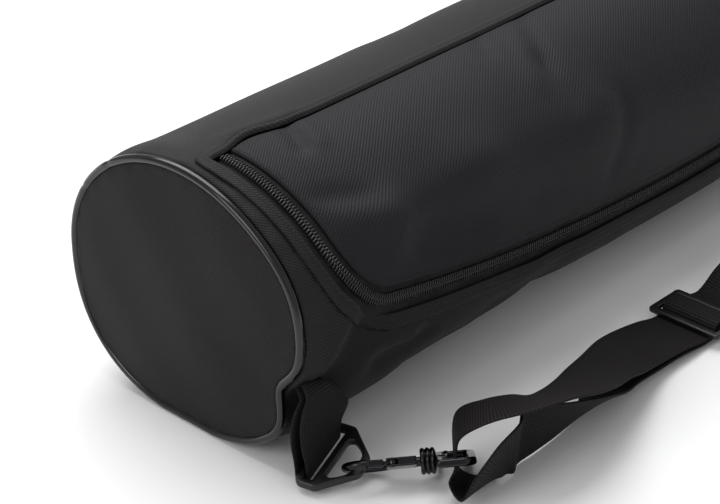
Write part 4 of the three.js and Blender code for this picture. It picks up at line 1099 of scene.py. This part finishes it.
hookShape, gateShape, loopShape = hookBody(), gatePart(), loopPart()
newPiece("hook_left_dressed", *placed(hookShape, hookFrame), blackNickel, "metal", "hook", ["hook_left"], sharp=38)
newPiece("gate_left_dressed", *placed(gateShape, hookFrame), blackNickel, "metal", "gate", ["gate_left"], sharp=38)
newPiece("loop_left_dressed", *placed(loopShape, loopFrame), blackNickel, "metal", "bag", ["hook_loop_left"],
         sharp=38)
farHook = joinParts(placed(hookShape, mirror @ hookFrame), placed(gateShape, mirror @ hookFrame),
                    placed(loopShape, mirror @ loopFrame))
newPiece("hook_right_dressed", *farHook, blackNickel, "metal", "bag", ["hook_right"], sharp=38)
print("rings and hooks")

# Shoulder strap. Places near the hook are in widths of the webbing from the middle of the loop's opening, each with
# the way of the webbing's width.
adjuster = {"widthsFromHook": 5.6842, "length": 30, "bar": 4.5, "thick": 3, "lift": 6.2}
strap = {"bow": 155, "hem": 28}
strapStart = inFrame(loopFrame, openingMiddle, 0, 0)
adjusterMiddle = strapStart[0] + adjuster["widthsFromHook"] * webbing["width"]
strapLine = strapStart[1] - 0.04 * webbing["width"]
lowerStrand = [
    (4.66, -0.03, 0.12, (0, 1, -0.03)), (4, -0.04, 0.12, (0, 0.99, -0.1)),
    (3.35, -0.18, 0.18, (0, 0.96, -0.28)), (2.81, -0.43, 0.28, (0, 0.87, -0.5)),
    (2.25, -0.62, 0.4, (0, 0.68, -0.73)), (1.71, -0.61, 0.47, (0.03, 0.5, -0.87)),
    (1.21, -0.53, 0.52, (0.05, 0.28, -0.96)), (0.84, -0.46, 0.53, (0.03, 0.12, -0.99)),
    (0.6, -0.6, 0.54, (0.08, 0.17, -0.98)), (0.28, -0.61, 0.5, (0.5, 0.25, -0.83)),
    (0.01, -0.59, 0.34, (0.83, 0.22, -0.5)), (-0.05, -0.42, 0.1, (0.94, 0.25, -0.2)),
    (-0.1, -0.1, 0.17, (0.8, 0.44, -0.4)),
]
upperStrand = [
    (0.15, 0.1, 0.81, (0.73, 0.66, -0.18)), (0.36, -0.22, 1.09, (0.74, 0.63, -0.24)),
    (0.74, -0.57, 1.21, (0.46, 0.82, -0.34)), (1.2, -0.7, 1.14, (0.05, 0.91, -0.41)),
    (1.68, -0.69, 1.00, (-0.2, 0.94, -0.29)), (2.19, -0.57, 0.84, (-0.32, 0.93, -0.18)),
    (2.69, -0.4, 0.69, (-0.33, 0.94, -0.11)), (3.21, -0.26, 0.54, (-0.28, 0.96, 0)),
    (3.71, -0.12, 0.42, (-0.18, 0.98, 0.1)), (4.22, -0.03, 0.3, (-0.08, 0.99, 0.1)),
    (4.81, -0.03, 0.22, (-0.03, 1, 0.04)),
]
# The single strand: share of the way to the far loop, share of the bow, rise in widths, and the way of its width
farStrand = [
    (0.08, 0, 0.1, (0, 1, 0)), (0.12, 0.01, 0.24, (0, 0.92, 0.4)), (0.165, 0.03, 0.43, (0.05, 0.65, 0.76)),
    (0.21, 0.1, 0.54, (0.05, 0.1, 0.99)), (0.275, 0.3, 0.54, (0, 0, 1)), (0.34, 0.58, 0.54, (0, 0, 1)),
    (0.445, 0.86, 0.54, (0, 0, 1)), (0.59, 1, 0.54, (0, 0, 1)), (0.735, 0.86, 0.54, (0, 0, 1)),
    (0.832, 0.58, 0.54, (0.05, 0, 1)), (0.87, 0.38, 0.53, (0.3, -0.25, 0.92)),
]


def strapStations():
    clear = webbing["thick"] / 2 + gap
    pitch = webbing["thick"] + gap
    width = webbing["width"]

    def station(middle, across):
        across = np.array(across, float)
        return {"middle": np.array(middle, float), "across": across / np.linalg.norm(across)}

    def inAdjuster(x, z):
        return station((adjusterMiddle + x, strapLine, z), (0, 1, 0))

    loopAcross = loopFrame.col[1][:3]
    inLoop = [station(inFrame(loopFrame, openingMiddle, 0, side * loop["thick"] * 0.7), loopAcross)
              for side in (-1, 1)]
    lower, upper = [[station((strapStart[0] + x * width, strapStart[1] + y * width, z * width), across)
                     for x, y, z, across in strand] for strand in (lowerStrand, upperStrand)]
    far = [station((adjusterMiddle + share * (-strapStart[0] - adjusterMiddle), strapLine - out * strap["bow"],
                    rise * width), across) for share, out, rise, across in farStrand]
    middleHeight = adjuster["lift"] + adjuster["thick"] / 2
    wide, deep = adjuster["bar"] / 2 + clear, adjuster["thick"] / 2 + clear
    under = adjuster["lift"] - clear
    half = adjuster["length"] / 2
    # The fixed end is folded round the middle bar
    fixedEnd = []
    for k in range(9):
        angle = math.radians(-100 + k * 35)
        height = middleHeight + deep * wrapPower(math.sin(angle))
        fixedEnd.append(inAdjuster(wide * wrapPower(math.cos(angle)), height))
    fixedEnd += [inAdjuster(-wide - 0.4, under + 0.8), inAdjuster(-wide - 1.9, under - 0.45 * pitch),
                 inAdjuster(-wide - 4.7, under - 0.95 * pitch), inAdjuster(-half - 3, under - 1.1 * pitch)]
    # The sliding strand goes under the end bars and over the middle one
    top = adjuster["lift"] + adjuster["thick"] + pitch + clear
    inner = half - adjuster["bar"]
    climb = [(half + 3, under), (inner, under - 0.1), (inner - 1.6, under + 0.9), (inner - 2.3, middleHeight),
             (inner - 3, top - 2.3), (wide + 2.2, top - 0.5)]
    sliding = [inAdjuster(-x, z) for x, z in climb] + [inAdjuster(0, top)]
    sliding += [inAdjuster(x, z) for x, z in climb[::-1]]
    # The far end is folded round the far loop's outer bar
    farFrame = mirror @ loopFrame
    farAcross = -np.array(farFrame.col[1][:3])
    bar = openingMiddle + (loop["opening"] + loop["bar"]) / 2
    around = loop["bar"] / 2 + clear
    folded = [(bar + strap["hem"] + 6, 0.55 * pitch), (bar + 14, 0.6 * pitch), (bar + 7, 0.8 * pitch + 0.6)]
    for k in range(9):
        angle = math.radians(60 + k * 30)
        folded.append((bar + around * wrapPower(math.cos(angle)), around * wrapPower(math.sin(angle))))
    folded += [(bar + 7, -0.8 * pitch - 0.6), (bar + 14, -0.6 * pitch), (bar + strap["hem"], -0.55 * pitch)]
    foldedEnd = [station(inFrame(farFrame, x, 0, z), farAcross) for x, z in folded]
    return [*fixedEnd, *lower, *inLoop, *upper, *sliding, *far, *foldedEnd]


strapPoints, strapFaces, strapFlat, strapLength = ribbon(strapStations(), 6)
strapPiece = newPiece("strap_dressed", strapPoints, strapFaces, webbingWeave, "webbing", replaces=["strap_webbing"],
                      flat=strapFlat)


def adjusterPlate():
    half, outer = adjuster["length"] / 2, slotHalf + adjuster["bar"]
    windowLength = (adjuster["length"] - 3 * adjuster["bar"]) / 2
    windows = []
    for side in (-1, 1):
        middle = side * (windowLength + adjuster["bar"]) / 2
        windows.append(rectangle(middle - windowLength / 2, middle + windowLength / 2, -slotHalf, slotHalf, 1))
    return plate(rectangle(-half, half, -outer, outer, 3), windows, adjuster["thick"], 0.9)


spot = Matrix.Translation((adjusterMiddle, strapLine, adjuster["lift"] + adjuster["thick"] / 2))
newPiece("adjuster_dressed", *placed(adjusterPlate(), spot), acetal, "acetal", replaces=["strap_adjuster"],
         sharp=38)
print("strap", round(strapLength), "mm, tab", round(tabLength), "mm")
